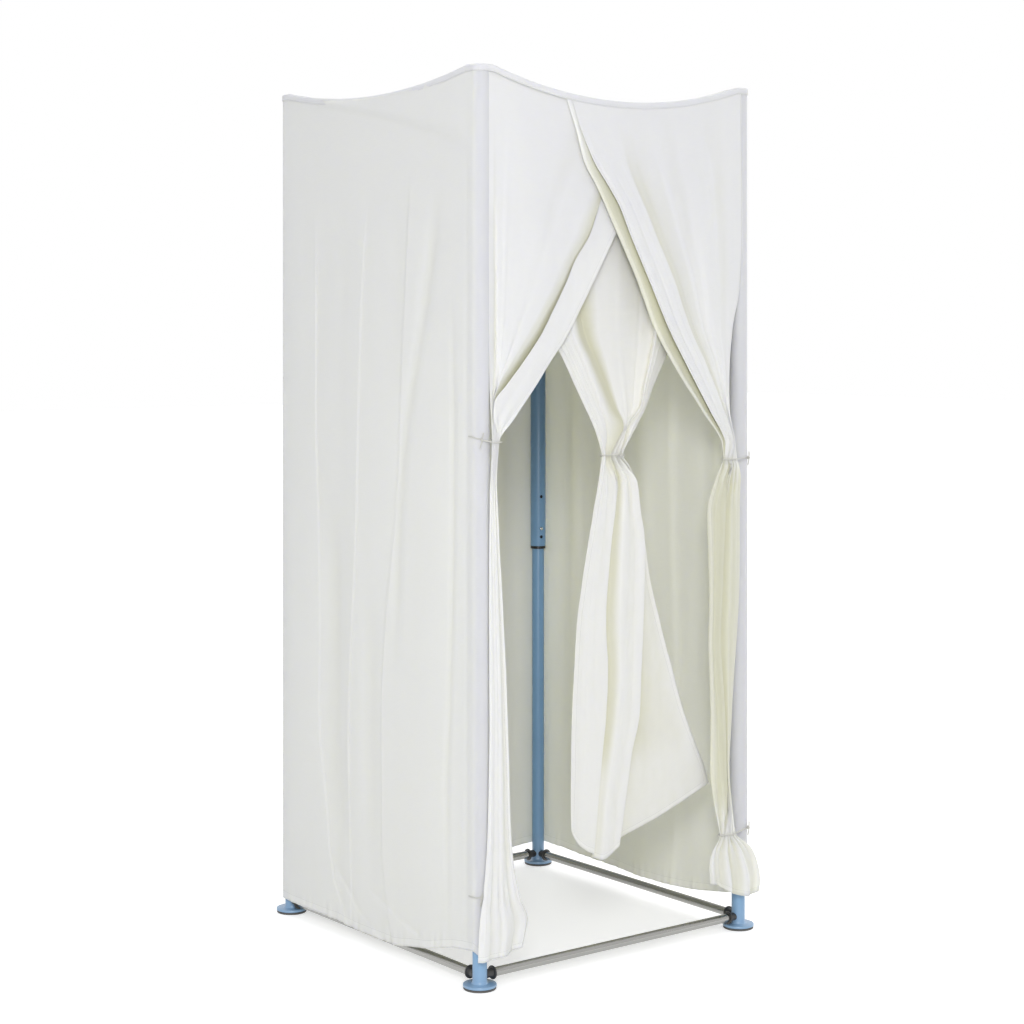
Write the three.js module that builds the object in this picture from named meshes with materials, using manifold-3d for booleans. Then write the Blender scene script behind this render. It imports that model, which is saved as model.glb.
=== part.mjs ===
// Portable fitting room: four telescopic posts on foot discs, chrome base rods between the feet,
// and a cloth cover with three walls, a sagging roof, two tied-back door flaps and an inner curtain.
// Millimetres, +Z up, origin on the floor under the middle of the cabin. The doorway faces -Y.
import * as THREE from 'three';
import { mergeVertices } from 'three/addons/utils/BufferGeometryUtils.js';
import Module from 'manifold-3d';

const wasm = await Module();
wasm.setup();

// Driving dimensions of the whole room
const postSpacing = 770;
const overallHeight = 2000;
const seatGap = 0.3;
const slideGap = 0.3;
const cutOverrun = 2;
const roundSides = 16;
const smallSides = 12;

// Foot and lower post
const padRadius = 36;
const padHeight = 5;
const padEdge = 1.2;
const plateRadius = 37;
const plateHeight = 6;
const plateEdge = 2;
const tubeClearance = 2.5;
const tubeWall = 1.5;
const lowerTubeAboveButton = 194;

// Upper post, its collar, bush and cap
const upperRadius = 20;
const collarHeight = 7;
const collarBottom = 842;
const spigotLength = 20;
const bushHead = 8;
const bushBore = 6;
const capHead = 6;
const capCrown = 2;
const capTopShare = 0.6;

// Snap button, its three holes and its spring
const buttonAboveCollar = 54;
const buttonRadius = 4;
const buttonProud = 2.6;
const buttonDomeHeight = 2;
const buttonDomeShare = 0.55;
const buttonBaseRadius = 6;
const buttonBaseThickness = 1.5;
const buttonHoleClearance = 0.4;
const holeAbove = 85;
const holeBelow = 22;
const buttonTurn = THREE.MathUtils.degToRad(12);
const springWidth = 9;
const springThickness = 0.8;
const springLegLength = 62;
const springBendRadius = 4;
const springTipRise = 8;
const springWallGap = 0.3;

// Base rods and their ends
const rodRadius = 10;
const rodWall = 1.5;
const rodHeight = 28.5;
const flangeRadius = 15;
const flangeThickness = 4;
const flangeEdge = 1;
const flangeReach = 36;
const neckRadius = 9.5;
const stubRadius = 5.5;
const stubDepth = 4;
const rodSpigotLength = 30;

// Cover cloth
const clothThickness = 2;
const seamGap = 0.6;
const hangGap = 0.5;
const roofCells = 12;
const frontSag = 57;
const backSag = 55;
const leftSag = 36;
const rightSag = 40;
const wallRows = 9;
const hemCornerHeight = 62;
const hemMiddleHeight = 34;

// Door flaps, curtain and ties
const flapPleats = 3.5;
const flapColumns = 4 * flapPleats;
const curtainPleats = 4;
const curtainColumns = 4 * curtainPleats;
const layerPitch = 2.6;
const tieRadius = 1.5;
const tieSides = 6;
const tieSteps = 28;
const tieClearance = 0.6;
const waistHold = 5;
const tieTail = 9;
const tieWallTurns = [0, 22, 45, 68].map(THREE.MathUtils.degToRad);
const tieBundleTurns = [150, 110, 75, 40, 0, -45].map(THREE.MathUtils.degToRad);
const tiePostTurn = THREE.MathUtils.degToRad(30);

// Sizes worked out from those above
const half = postSpacing / 2;
const buttonHeight = collarBottom + buttonAboveCollar;
const lowerTubeTop = buttonHeight + lowerTubeAboveButton;
const plateBottom = padHeight + seatGap;
const plateTop = plateBottom + plateHeight;
const upperInner = upperRadius - tubeWall;
const lowerRadius = upperInner - tubeClearance;
const lowerInner = lowerRadius - tubeWall;
const collarTop = collarBottom + collarHeight;
const upperBottom = collarTop + seatGap;
const capTop = overallHeight - clothThickness - seatGap;
const upperTop = capTop - capHead - seatGap;
const skinRadius = upperRadius + seatGap + clothThickness / 2;
const bushRadius = upperInner - slideGap;
const rodInner = rodRadius - rodWall;
const rodLength = postSpacing - 2 * (flangeReach + seatGap);
const quarter = Math.PI / 2;

const room = new THREE.Group();

// Finishes
const finish = (color, metalness, roughness) =>
  new THREE.MeshStandardMaterial({ color, metalness, roughness });
const bluePaint = finish(0x7fa3cf, 0.1, 0.35);
const blackPlastic = finish(0x14171a, 0, 0.35);
const blackRubber = finish(0x1a1a1a, 0, 0.8);
const chrome = finish(0xd8dadc, 1, 0.15);
const springSteel = finish(0x8c9096, 1, 0.35);
const whiteCloth = finish(0xe6e8ea, 0, 0.9);
const creamCloth = finish(0xe2deca, 0, 0.9);
const cordCloth = finish(0xefeee6, 0, 0.85);

const addMesh = (name, geometry, material, parent = room) => {
  const mesh = new THREE.Mesh(geometry, material);
  mesh.name = name;
  parent.add(mesh);
  return mesh;
};

// Booleans
const toSolid = (geometry) => {
  const bare = geometry.clone();
  bare.deleteAttribute('normal');
  bare.deleteAttribute('uv');
  const merged = mergeVertices(bare);
  return new wasm.Manifold(new wasm.Mesh({
    numProp: 3,
    vertProperties: new Float32Array(merged.attributes.position.array),
    triVerts: new Uint32Array(merged.index.array),
  }));
};
const toGeometry = (solid) => {
  const mesh = solid.getMesh();
  const geometry = new THREE.BufferGeometry();
  geometry.setAttribute('position', new THREE.BufferAttribute(mesh.vertProperties, mesh.numProp));
  geometry.setIndex(new THREE.BufferAttribute(mesh.triVerts, 1));
  geometry.computeVertexNormals();
  return geometry;
};

// A turned shape from radius and height pairs, with its axis along +Z
const turned = (profile, sides = roundSides) => {
  const points = profile.map(([radius, height]) => new THREE.Vector2(radius, height));
  return new THREE.LatheGeometry(points, sides).rotateX(quarter);
};
const cylinderAlongX = (radius, from, to, sides) => {
  const geometry = new THREE.CylinderGeometry(radius, radius, to - from, sides);
  return geometry.rotateZ(quarter).translate((from + to) / 2, 0, 0);
};
const ring = (inner, outer, bottom, top) => [
  [inner, bottom],
  [outer, bottom],
  [outer, top],
  [inner, top],
  [inner, bottom],
];

// Corners in order round the room, with the turn that carries the first one there
const corners = [
  { name: 'front_left', turn: 0 },
  { name: 'front_right', turn: quarter },
  { name: 'back_right', turn: 2 * quarter },
  { name: 'back_left', turn: 3 * quarter },
];

// In a corner's own group the post stands at (-half, -half) and its rods run along +X and +Y.
// The snap button of the back right post looks nearly along -Y, so the first corner's looks along +Y.
const buttonDirection = quarter - buttonTurn;
const buttonPose = (geometry, height = buttonHeight) =>
  geometry.rotateZ(buttonDirection).translate(0, 0, height);
const holeRadius = buttonRadius + buttonHoleClearance;

const lowerPost = () => {
  const body = toSolid(turned([
    [0, plateBottom],
    [plateRadius - plateEdge, plateBottom],
    [plateRadius, plateBottom + plateEdge / 2],
    [plateRadius, plateTop - plateEdge],
    [plateRadius - plateEdge, plateTop],
    [lowerRadius, plateTop],
    [lowerRadius, lowerTubeTop],
    [lowerInner, lowerTubeTop],
    [lowerInner, plateTop],
    [0, plateTop],
  ]));
  const stubHole = () => cylinderAlongX(
    stubRadius + seatGap, 0, lowerRadius + cutOverrun, smallSides).translate(0, 0, rodHeight);
  const buttonHole = buttonPose(cylinderAlongX(holeRadius, 0, lowerRadius + cutOverrun, smallSides));
  return toGeometry(body
    .subtract(toSolid(stubHole()))
    .subtract(toSolid(stubHole().rotateZ(quarter)))
    .subtract(toSolid(buttonHole)));
};

const upperPost = () => {
  let body = toSolid(turned(ring(upperInner, upperRadius, upperBottom, upperTop)));
  for (const height of [buttonHeight - holeBelow, buttonHeight, buttonHeight + holeAbove]) {
    const hole = cylinderAlongX(holeRadius, 0, upperRadius + cutOverrun, smallSides);
    body = body.subtract(toSolid(buttonPose(hole, height)));
  }
  return toGeometry(body);
};

const footPad = () => turned([
  [0, 0],
  [padRadius, 0],
  [padRadius, padHeight - padEdge],
  [padRadius - padEdge, padHeight],
  [0, padHeight],
]);

const collar = () => turned([
  [lowerRadius + slideGap, collarBottom],
  [upperRadius, collarBottom],
  [upperRadius, collarTop],
  [upperInner - seatGap, collarTop],
  [upperInner - seatGap, collarTop + spigotLength],
  [lowerRadius + slideGap, collarTop + spigotLength],
  [lowerRadius + slideGap, collarBottom],
]);

const guideBush = () => {
  const seat = lowerTubeTop + seatGap;
  return turned([
    [bushBore, seat - spigotLength],
    [lowerInner - seatGap, seat - spigotLength],
    [lowerInner - seatGap, seat],
    [bushRadius, seat],
    [bushRadius, seat + bushHead],
    [bushBore, seat + bushHead],
    [bushBore, seat - spigotLength],
  ]);
};

const topCap = () => {
  const seat = upperTop + seatGap;
  return turned([
    [0, seat - spigotLength],
    [upperInner - seatGap, seat - spigotLength],
    [upperInner - seatGap, seat],
    [upperRadius, seat],
    [upperRadius, capTop - capCrown],
    [upperRadius * capTopShare, capTop],
    [0, capTop],
  ]);
};

// The button's shank runs outwards along +X of its own frame, then turns to look out of its hole
const buttonBaseOut = Math.sqrt((lowerInner - seatGap) ** 2 - buttonBaseRadius ** 2) - seatGap;
const snapButton = () => {
  const tip = upperRadius + buttonProud;
  const shape = turned([
    [0, buttonBaseOut - buttonBaseThickness],
    [buttonBaseRadius, buttonBaseOut - buttonBaseThickness],
    [buttonBaseRadius, buttonBaseOut],
    [buttonRadius, buttonBaseOut],
    [buttonRadius, tip - buttonDomeHeight],
    [buttonRadius * buttonDomeShare, tip],
    [0, tip],
  ], smallSides);
  return buttonPose(shape.rotateY(quarter));
};

// A bent strip: the back leg stands on the tube's far wall, the front leg presses on the button
const buttonSpring = () => {
  const backWall = -Math.sqrt((lowerInner - seatGap) ** 2 - (springWidth / 2) ** 2) + springWallGap;
  const backFace = backWall + springThickness / 2;
  const bendBottom = buttonHeight - springLegLength;
  const frontFace = buttonBaseOut - buttonBaseThickness - seatGap - springThickness / 2;
  const line = [
    [backFace, buttonHeight + springTipRise],
    [backFace, bendBottom + springBendRadius],
    [backFace + springBendRadius * (1 - Math.SQRT1_2), bendBottom + springBendRadius * (1 - Math.SQRT1_2)],
    [backFace + springBendRadius, bendBottom],
    [backFace + springBendRadius * (1 + Math.SQRT1_2), bendBottom + springBendRadius * (1 - Math.SQRT1_2)],
    [frontFace, buttonHeight - springTipRise],
    [frontFace, buttonHeight + springTipRise],
  ].map(([x, z]) => new THREE.Vector2(x, z));
  const side = (sign) => line.map((point, i) => {
    const before = line[Math.max(i - 1, 0)];
    const after = line[Math.min(i + 1, line.length - 1)];
    const run = after.clone().sub(before).normalize();
    return new THREE.Vector2(-run.y, run.x).multiplyScalar(sign * springThickness / 2).add(point);
  });
  const outline = new THREE.Shape([...side(1), ...side(-1).reverse()]);
  const strip = new THREE.ExtrudeGeometry(outline, { depth: springWidth, bevelEnabled: false });
  strip.translate(0, 0, -springWidth / 2).rotateX(quarter);
  return buttonPose(strip, 0);
};

// A rod end along +X from the post's axis: stub in the post, saddle neck, flange, spigot in the rod
const rodEnd = () => {
  const head = toSolid(turned([
    [0, 0],
    [neckRadius, 0],
    [neckRadius, flangeReach - flangeThickness],
    [flangeRadius - flangeEdge, flangeReach - flangeThickness],
    [flangeRadius, flangeReach - flangeThickness + flangeEdge],
    [flangeRadius, flangeReach - flangeEdge],
    [flangeRadius - flangeEdge, flangeReach],
    [rodInner - seatGap, flangeReach],
    [rodInner - seatGap, flangeReach + rodSpigotLength],
    [0, flangeReach + rodSpigotLength],
  ], smallSides).rotateY(quarter));
  const post = toSolid(turned([
    [0, -neckRadius - cutOverrun],
    [lowerRadius + seatGap, -neckRadius - cutOverrun],
    [lowerRadius + seatGap, neckRadius + cutOverrun],
    [0, neckRadius + cutOverrun],
  ]));
  const stub = toSolid(cylinderAlongX(
    stubRadius, lowerRadius - stubDepth, flangeReach - flangeThickness, smallSides));
  return toGeometry(head.subtract(post).add(stub));
};

const baseRod = () => {
  const start = flangeReach + seatGap;
  return turned(ring(rodInner, rodRadius, start, start + rodLength)).rotateY(quarter);
};

for (const { name, turn } of corners) {
  const corner = new THREE.Group();
  corner.rotation.z = turn;
  const post = new THREE.Group();
  post.position.set(-half, -half, 0);
  corner.add(post);
  room.add(corner);
  addMesh(`${name}_foot_pad`, footPad(), blackRubber, post);
  addMesh(`${name}_lower_post`, lowerPost(), bluePaint, post);
  addMesh(`${name}_upper_post`, upperPost(), bluePaint, post);
  addMesh(`${name}_collar`, collar(), blackPlastic, post);
  addMesh(`${name}_guide_bush`, guideBush(), blackPlastic, post);
  addMesh(`${name}_top_cap`, topCap(), blackPlastic, post);
  addMesh(`${name}_snap_button`, snapButton(), chrome, post);
  addMesh(`${name}_button_spring`, buttonSpring(), springSteel, post);
  addMesh(`${name}_rod_end_a`, rodEnd(), blackPlastic, post).position.z = rodHeight;
  addMesh(`${name}_rod_end_b`, rodEnd().rotateZ(quarter), blackPlastic, post).position.z = rodHeight;
}
const rodNames = ['front_rod', 'right_rod', 'back_rod', 'left_rod'];
rodNames.forEach((name, i) => {
  const side = new THREE.Group();
  side.rotation.z = corners[i].turn;
  const rod = addMesh(name, baseRod(), chrome, side);
  rod.position.set(-half, -half, rodHeight);
  room.add(side);
});

// A closed sheet of even thickness from a grid of middle points and their unit normals
const sheetSolid = (points, normals, thickness = clothThickness) => {
  const rows = points.length;
  const columns = points[0].length;
  const positions = [];
  for (const side of [1, -1]) {
    for (let i = 0; i < rows; i += 1) {
      for (let j = 0; j < columns; j += 1) {
        const p = normals[i][j].clone().multiplyScalar(side * thickness / 2).add(points[i][j]);
        positions.push(p.x, p.y, p.z);
      }
    }
  }
  const at = (side, i, j) => side * rows * columns + i * columns + j;
  const faces = [];
  const quad = (a, b, c, d) => faces.push(a, b, c, a, c, d);
  for (let i = 0; i < rows - 1; i += 1) {
    for (let j = 0; j < columns - 1; j += 1) {
      quad(at(0, i, j), at(0, i + 1, j), at(0, i + 1, j + 1), at(0, i, j + 1));
      quad(at(1, i, j), at(1, i, j + 1), at(1, i + 1, j + 1), at(1, i + 1, j));
    }
  }
  for (let j = 0; j < columns - 1; j += 1) {
    quad(at(0, 0, j), at(0, 0, j + 1), at(1, 0, j + 1), at(1, 0, j));
    quad(at(0, rows - 1, j + 1), at(0, rows - 1, j), at(1, rows - 1, j), at(1, rows - 1, j + 1));
  }
  for (let i = 0; i < rows - 1; i += 1) {
    quad(at(0, i + 1, 0), at(0, i, 0), at(1, i, 0), at(1, i + 1, 0));
    quad(at(0, i, columns - 1), at(0, i + 1, columns - 1), at(1, i + 1, columns - 1), at(1, i, columns - 1));
  }
  const geometry = new THREE.BufferGeometry();
  geometry.setAttribute('position', new THREE.Float32BufferAttribute(positions, 3));
  geometry.setIndex(faces);
  geometry.computeVertexNormals();
  return geometry;
};

// Normals of a grid from its neighbours, rows running down and columns to the right seen from outside
const gridNormals = (points) => points.map((row, i) => row.map((point, j) => {
  const above = points[Math.max(i - 1, 0)][j];
  const below = points[Math.min(i + 1, points.length - 1)][j];
  const before = row[Math.max(j - 1, 0)];
  const after = row[Math.min(j + 1, row.length - 1)];
  const down = below.clone().sub(above);
  return down.cross(after.clone().sub(before)).normalize();
}));

// Roof: the middle surface sags along each edge and across the middle; it is straight between cells
const hang = (share) => 1 - share * share;
const roofSpan = half - upperRadius;
const cellShare = (value) => {
  const clamped = THREE.MathUtils.clamp(value / roofSpan, -1, 1);
  const cell = 2 / roofCells;
  const low = Math.min(Math.floor((clamped + 1) / cell), roofCells - 1);
  const from = -1 + low * cell;
  return { from, to: from + cell, part: (clamped - from) / cell };
};
const roofNode = (xShare, yShare) => {
  const alongFront = THREE.MathUtils.lerp(frontSag, backSag, (yShare + 1) / 2) * hang(xShare);
  const alongSide = THREE.MathUtils.lerp(leftSag, rightSag, (xShare + 1) / 2) * hang(yShare);
  return overallHeight - clothThickness / 2 - alongFront - alongSide;
};
const roofMiddle = (x, y) => {
  const h = cellShare(x);
  const v = cellShare(y);
  const near = THREE.MathUtils.lerp(roofNode(h.from, v.from), roofNode(h.to, v.from), h.part);
  const far = THREE.MathUtils.lerp(roofNode(h.from, v.to), roofNode(h.to, v.to), h.part);
  return THREE.MathUtils.lerp(near, far, v.part);
};
const underRoof = (x, y) => roofMiddle(x, y) - clothThickness / 2 - seatGap;

// Places along a side from post axis to post axis: flat over each cap, even cells between them
const sideLines = (cells) => {
  const lines = [-half];
  for (let i = 0; i <= cells; i += 1) {
    lines.push(-roofSpan + i * 2 * roofSpan / cells);
  }
  lines.push(half);
  return lines;
};
const roofLines = () => {
  const round = skinRadius + clothThickness / 2;
  const before = [-half - round, -half - round * Math.SQRT1_2];
  return [...before, ...sideLines(roofCells), ...before.reverse().map((value) => -value)];
};
const roof = () => {
  const lines = roofLines();
  const points = [...lines].reverse().map((y) => lines.map((x) => {
    const overX = Math.sign(x) * Math.max(Math.abs(x) - half, 0);
    const overY = Math.sign(y) * Math.max(Math.abs(y) - half, 0);
    const reach = Math.max(Math.abs(overX), Math.abs(overY));
    const away = Math.hypot(overX, overY);
    const pull = overX && overY ? reach / away : 1;
    const px = overX ? Math.sign(x) * half + overX * pull : x;
    const py = overY ? Math.sign(y) * half + overY * pull : y;
    return new THREE.Vector3(px, py, roofMiddle(px, py));
  }));
  const up = points.map((row) => row.map(() => new THREE.Vector3(0, 0, 1)));
  return sheetSolid(points, up);
};
addMesh('roof', roof(), whiteCloth);

// Walls: a path round the outside of two posts, with soft vertical folds that start below the roof.
// A fold is [place along the wall, width, depth outwards, slant] as shares of the post spacing.
const arcStep = Math.PI / 8;
const leftFoldShares = [
  [0.09, 0.05, 0.010, 0.03],
  [0.20, 0.06, -0.012, 0.06],
  [0.33, 0.05, 0.014, 0.10],
  [0.44, 0.05, -0.012, 0.04],
  [0.54, 0.05, 0.014, 0.02],
  [0.64, 0.06, -0.010, 0.03],
  [0.78, 0.07, 0.012, -0.02],
  [0.90, 0.05, -0.008, 0],
];
const backFoldShares = [
  [0.15, 0.08, 0.010, 0],
  [0.35, 0.09, -0.012, 0.03],
  [0.55, 0.08, 0.014, 0],
  [0.75, 0.09, -0.012, -0.02],
  [0.90, 0.06, 0.008, 0],
];
const rightFoldShares = [
  [0.12, 0.07, -0.008, 0],
  [0.30, 0.07, 0.012, 0.02],
  [0.48, 0.07, -0.012, 0.02],
  [0.66, 0.07, 0.012, 0],
  [0.85, 0.06, -0.010, 0],
];
const foldTopShare = 0.02;
const foldFullShare = 0.5;
const foldSideShare = 0.08;
const foldOut = (shares, along, down) => {
  const grow = THREE.MathUtils.smoothstep(down, foldTopShare, foldFullShare);
  const edge = THREE.MathUtils.smoothstep(Math.min(along, 1 - along), 0, foldSideShare);
  let out = 0;
  for (const [place, width, depth, slant] of shares) {
    const off = (along - place - slant * (0.5 - down)) / width;
    out += depth * Math.exp(-off * off);
  }
  return out * grow * edge * postSpacing;
};
const hemShare = (along, liftShare) => {
  const near = Math.max(1 - along / liftShare, 0);
  const far = Math.max(1 - (1 - along) / liftShare, 0);
  return Math.max(near * near, far * far);
};
const wall = ({ out, alongAxis, steps, startTurns, endTurns, folds, liftShare }) => {
  const columns = [];
  const seamTurn = seamGap / 2 / skinRadius;
  for (let i = startTurns; i > 0; i -= 1) {
    const turn = i === startTurns ? i * arcStep - seamTurn : i * arcStep;
    columns.push({ centre: -half, turn: -turn, along: 0 });
  }
  for (const centre of sideLines(steps)) {
    columns.push({ centre, turn: 0, along: (centre + half) / postSpacing });
  }
  for (let i = 1; i <= endTurns; i += 1) {
    const turn = i === endTurns ? i * arcStep - seamTurn : i * arcStep;
    columns.push({ centre: half, turn, along: 1 });
  }
  const points = [];
  const normals = [];
  for (let row = 0; row <= wallRows; row += 1) {
    const down = row / wallRows;
    const lineOf = columns.map(({ centre, turn, along }) => {
      const away = half + skinRadius * Math.cos(turn) + foldOut(folds, along, down);
      const place = centre + skinRadius * Math.sin(turn);
      const p = new THREE.Vector3().addScaledVector(out, away).addScaledVector(alongAxis, place);
      const top = underRoof(p.x, p.y);
      const hem = THREE.MathUtils.lerp(hemMiddleHeight, hemCornerHeight, hemShare(along, liftShare));
      p.z = THREE.MathUtils.lerp(top, hem, down);
      return p;
    });
    points.push(lineOf);
    normals.push(columns.map(({ turn }) => new THREE.Vector3()
      .addScaledVector(out, Math.cos(turn)).addScaledVector(alongAxis, Math.sin(turn))));
  }
  return sheetSolid(points, normals);
};
const axisX = new THREE.Vector3(1, 0, 0);
const axisY = new THREE.Vector3(0, 1, 0);
addMesh('left_wall', wall({
  out: axisX.clone().negate(),
  alongAxis: axisY.clone().negate(),
  steps: 2 * roofCells,
  startTurns: 2,
  endTurns: 5,
  folds: leftFoldShares.map(([place, width, depth, slant]) => [1 - place, width, depth, -slant]),
  liftShare: 0.3,
}), whiteCloth);
addMesh('back_wall', wall({
  out: axisY,
  alongAxis: axisX.clone().negate(),
  steps: roofCells,
  startTurns: 2,
  endTurns: 2,
  folds: backFoldShares,
  liftShare: 0.3,
}), whiteCloth);
addMesh('right_wall', wall({
  out: axisX,
  alongAxis: axisY,
  steps: roofCells,
  startTurns: 5,
  endTurns: 2,
  folds: rightFoldShares,
  liftShare: 0.3,
}), whiteCloth);

// Gathered sheets. A row runs from its start to its end, seen from the front, and is given as shares:
// [start x, end x] of the post spacing from the middle, [start z, end z] of the overall height,
// then the step away from the sheet's plane, the depth of its pleats and the dip of its middle,
// all of the post spacing. The first row hangs from the roof and its heights aren't read.
const leftFlapShares = [
  [-0.486, 0.201, 1, 1, 0, 0, 0],
  [-0.486, 0.108, 0.900, 0.895, 0, 0, 0],
  [-0.486, -0.017, 0.820, 0.818, 0, 0.003, 0],
  [-0.486, -0.112, 0.765, 0.760, 0.002, 0.014, 0],
  [-0.486, -0.203, 0.710, 0.707, 0.004, 0.022, 0],
  [-0.486, -0.330, 0.655, 0.650, 0.005, 0.024, 0],
  [-0.486, -0.420, 0.615, 0.611, 0.009, 0.022, 0],
  [-0.490, -0.466, 0.595, 0.595, 0.012, 0.020, 0],
  [-0.490, -0.472, 0.565, 0.565, 0.010, 0.020, 0],
  [-0.490, -0.460, 0.500, 0.500, 0.008, 0.022, 0],
  [-0.490, -0.434, 0.350, 0.350, 0.008, 0.026, 0],
  [-0.490, -0.416, 0.175, 0.170, 0.008, 0.026, 0],
  [-0.490, -0.424, 0.101, 0.102, 0.010, 0.022, 0],
  [-0.506, -0.358, 0.065, 0.070, 0.011, 0.026, 0],
  [-0.520, -0.368, 0.033, 0.044, 0.012, 0.028, 0],
];
const rightFlapShares = [
  [-0.213, 0.486, 1, 1, 0, 0, 0],
  [-0.125, 0.486, 0.900, 0.900, 0.001, 0.006, 0],
  [-0.017, 0.486, 0.818, 0.825, 0.001, 0.014, 0],
  [0.061, 0.486, 0.765, 0.773, 0.002, 0.020, 0],
  [0.132, 0.447, 0.715, 0.710, 0.003, 0.024, 0],
  [0.228, 0.430, 0.665, 0.665, 0.005, 0.026, 0],
  [0.335, 0.425, 0.616, 0.620, 0.009, 0.025, 0],
  [0.396, 0.444, 0.575, 0.575, 0.012, 0.020, 0],
  [0.390, 0.448, 0.561, 0.561, 0.012, 0.020, 0],
  [0.366, 0.460, 0.535, 0.538, 0.010, 0.022, 0],
  [0.340, 0.474, 0.500, 0.500, 0.008, 0.026, 0],
  [0.350, 0.473, 0.430, 0.430, 0.008, 0.028, 0],
  [0.346, 0.450, 0.300, 0.300, 0.008, 0.028, 0],
  [0.347, 0.428, 0.200, 0.200, 0.008, 0.028, 0],
  [0.376, 0.440, 0.1205, 0.1205, 0.011, 0.022, 0],
  [0.340, 0.536, 0.088, 0.085, 0.011, 0.026, 0],
  [0.348, 0.552, 0.071, 0.040, 0.012, 0.028, 0.008],
];
const curtainShares = [
  [-0.400, 0.400, 1, 1, 0, 0, 0],
  [-0.351, 0.351, 0.915, 0.915, 0.003, 0.006, 0],
  [-0.310, 0.305, 0.825, 0.825, 0.006, 0.012, 0],
  [-0.273, 0.268, 0.765, 0.765, 0.008, 0.018, 0],
  [-0.232, 0.226, 0.705, 0.712, 0.010, 0.024, 0],
  [-0.152, 0.148, 0.650, 0.650, 0.011, 0.028, 0],
  [-0.079, 0.074, 0.600, 0.600, 0.012, 0.028, 0],
  [-0.048, 0.036, 0.5705, 0.5705, 0.012, 0.028, 0],
  [-0.058, 0.066, 0.550, 0.548, 0.012, 0.030, 0],
  [-0.086, 0.104, 0.510, 0.500, 0.012, 0.034, 0],
  [-0.130, 0.125, 0.440, 0.430, 0.012, 0.038, 0],
  [-0.161, 0.169, 0.379, 0.365, 0.012, 0.040, 0],
  [-0.173, 0.223, 0.300, 0.300, 0.012, 0.040, 0],
  [-0.179, 0.288, 0.225, 0.230, 0.012, 0.036, 0],
  [-0.178, 0.345, 0.165, 0.192, 0.012, 0.034, 0.020],
  [-0.170, 0.370, 0.120, 0.178, 0.012, 0.034, 0.056],
];
const leftFlapPlane = -(half + skinRadius) + layerPitch;
const rightFlapPlane = leftFlapPlane - layerPitch;
const curtainPlane = leftFlapPlane + layerPitch;
const rowShape = ([startX, endX, startZ, endZ, away, pleat, dip]) => ({
  startX: startX * postSpacing,
  endX: endX * postSpacing,
  startZ: startZ * overallHeight,
  endZ: endZ * overallHeight,
  away: away * postSpacing,
  pleat: pleat * postSpacing,
  dip: dip * postSpacing,
});
// A tied row keeps its outline for a short way above and below its tie.
// A door flap is modelled in three lengths, which meet under the cords of its two ties.
const gathered = ({ shares, tied, first, last, plane, direction, columns, pleats }) => {
  const heights = (row) => {
    const above = row === first && row > 0 ? -seatGap / 2 : waistHold;
    const below = row === last && row < shares.length - 1 ? seatGap / 2 : -waistHold;
    return tied.includes(row) ? [above, below] : [0];
  };
  const rows = shares.flatMap((share, row) =>
    (row < first || row > last ? [] : heights(row)).map((lift) => ({ share, row, lift })));
  const points = rows.map(({ share, row, lift }) => {
    const { startX, endX, startZ, endZ, away, pleat, dip } = rowShape(share);
    const line = [];
    for (let i = 0; i <= columns; i += 1) {
      const along = i / columns;
      const x = THREE.MathUtils.lerp(startX, endX, along);
      const round = Math.sqrt(Math.max(hang(2 * along - 1), 0));
      const wave = Math.cos(2 * Math.PI * pleats * along) * round;
      const y = plane + direction * (away + (pleat / 2) * (1 + wave));
      const z = row === 0
        ? underRoof(x, y) - hangGap
        : THREE.MathUtils.lerp(startZ, endZ, along) - dip * hang(2 * along - 1) + lift;
      line.push(new THREE.Vector3(x, y, z));
    }
    return line;
  });
  return sheetSolid(points, gridNormals(points));
};
const leftTied = [7, 12];
const rightTied = [8, 14];
const curtainTied = [7];
const doorFlap = (name, shares, tied, plane) => {
  const flap = { shares, tied, plane, direction: -1, columns: flapColumns, pleats: flapPleats };
  addMesh(name, gathered({ ...flap, first: 0, last: tied[0] }), creamCloth);
  addMesh(`${name}_tail`, gathered({ ...flap, first: tied[0], last: tied[1] }), creamCloth);
  addMesh(`${name}_skirt`, gathered({ ...flap, first: tied[1], last: shares.length - 1 }), creamCloth);
};
doorFlap('left_door_flap', leftFlapShares, leftTied, leftFlapPlane);
doorFlap('right_door_flap', rightFlapShares, rightTied, rightFlapPlane);
addMesh('inner_curtain', gathered({
  shares: curtainShares,
  tied: curtainTied,
  first: 0,
  last: curtainShares.length - 1,
  plane: curtainPlane,
  direction: 1,
  columns: curtainColumns,
  pleats: curtainPleats,
}), creamCloth);

// Ties. The outline of a gathered row is an ellipse, and a tie runs round it with a small clearance.
const tieReach = clothThickness / 2 + tieClearance + tieRadius;
const bundle = (share, plane, direction) => {
  const { startX, endX, startZ, away, pleat } = rowShape(share);
  return {
    x: (startX + endX) / 2,
    y: plane + direction * (away + pleat / 2),
    z: startZ,
    across: (endX - startX) / 2 + tieReach,
    deep: pleat / 2 + tieReach,
  };
};
const cordAlong = (path, steps) => {
  const section = new THREE.Shape();
  for (let i = 0; i < tieSides; i += 1) {
    const turn = 2 * Math.PI * i / tieSides;
    const point = [tieRadius * Math.cos(turn), tieRadius * Math.sin(turn)];
    if (i === 0) {
      section.moveTo(...point);
    } else {
      section.lineTo(...point);
    }
  }
  return new THREE.ExtrudeGeometry(section, { steps, extrudePath: path, bevelEnabled: false });
};
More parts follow.
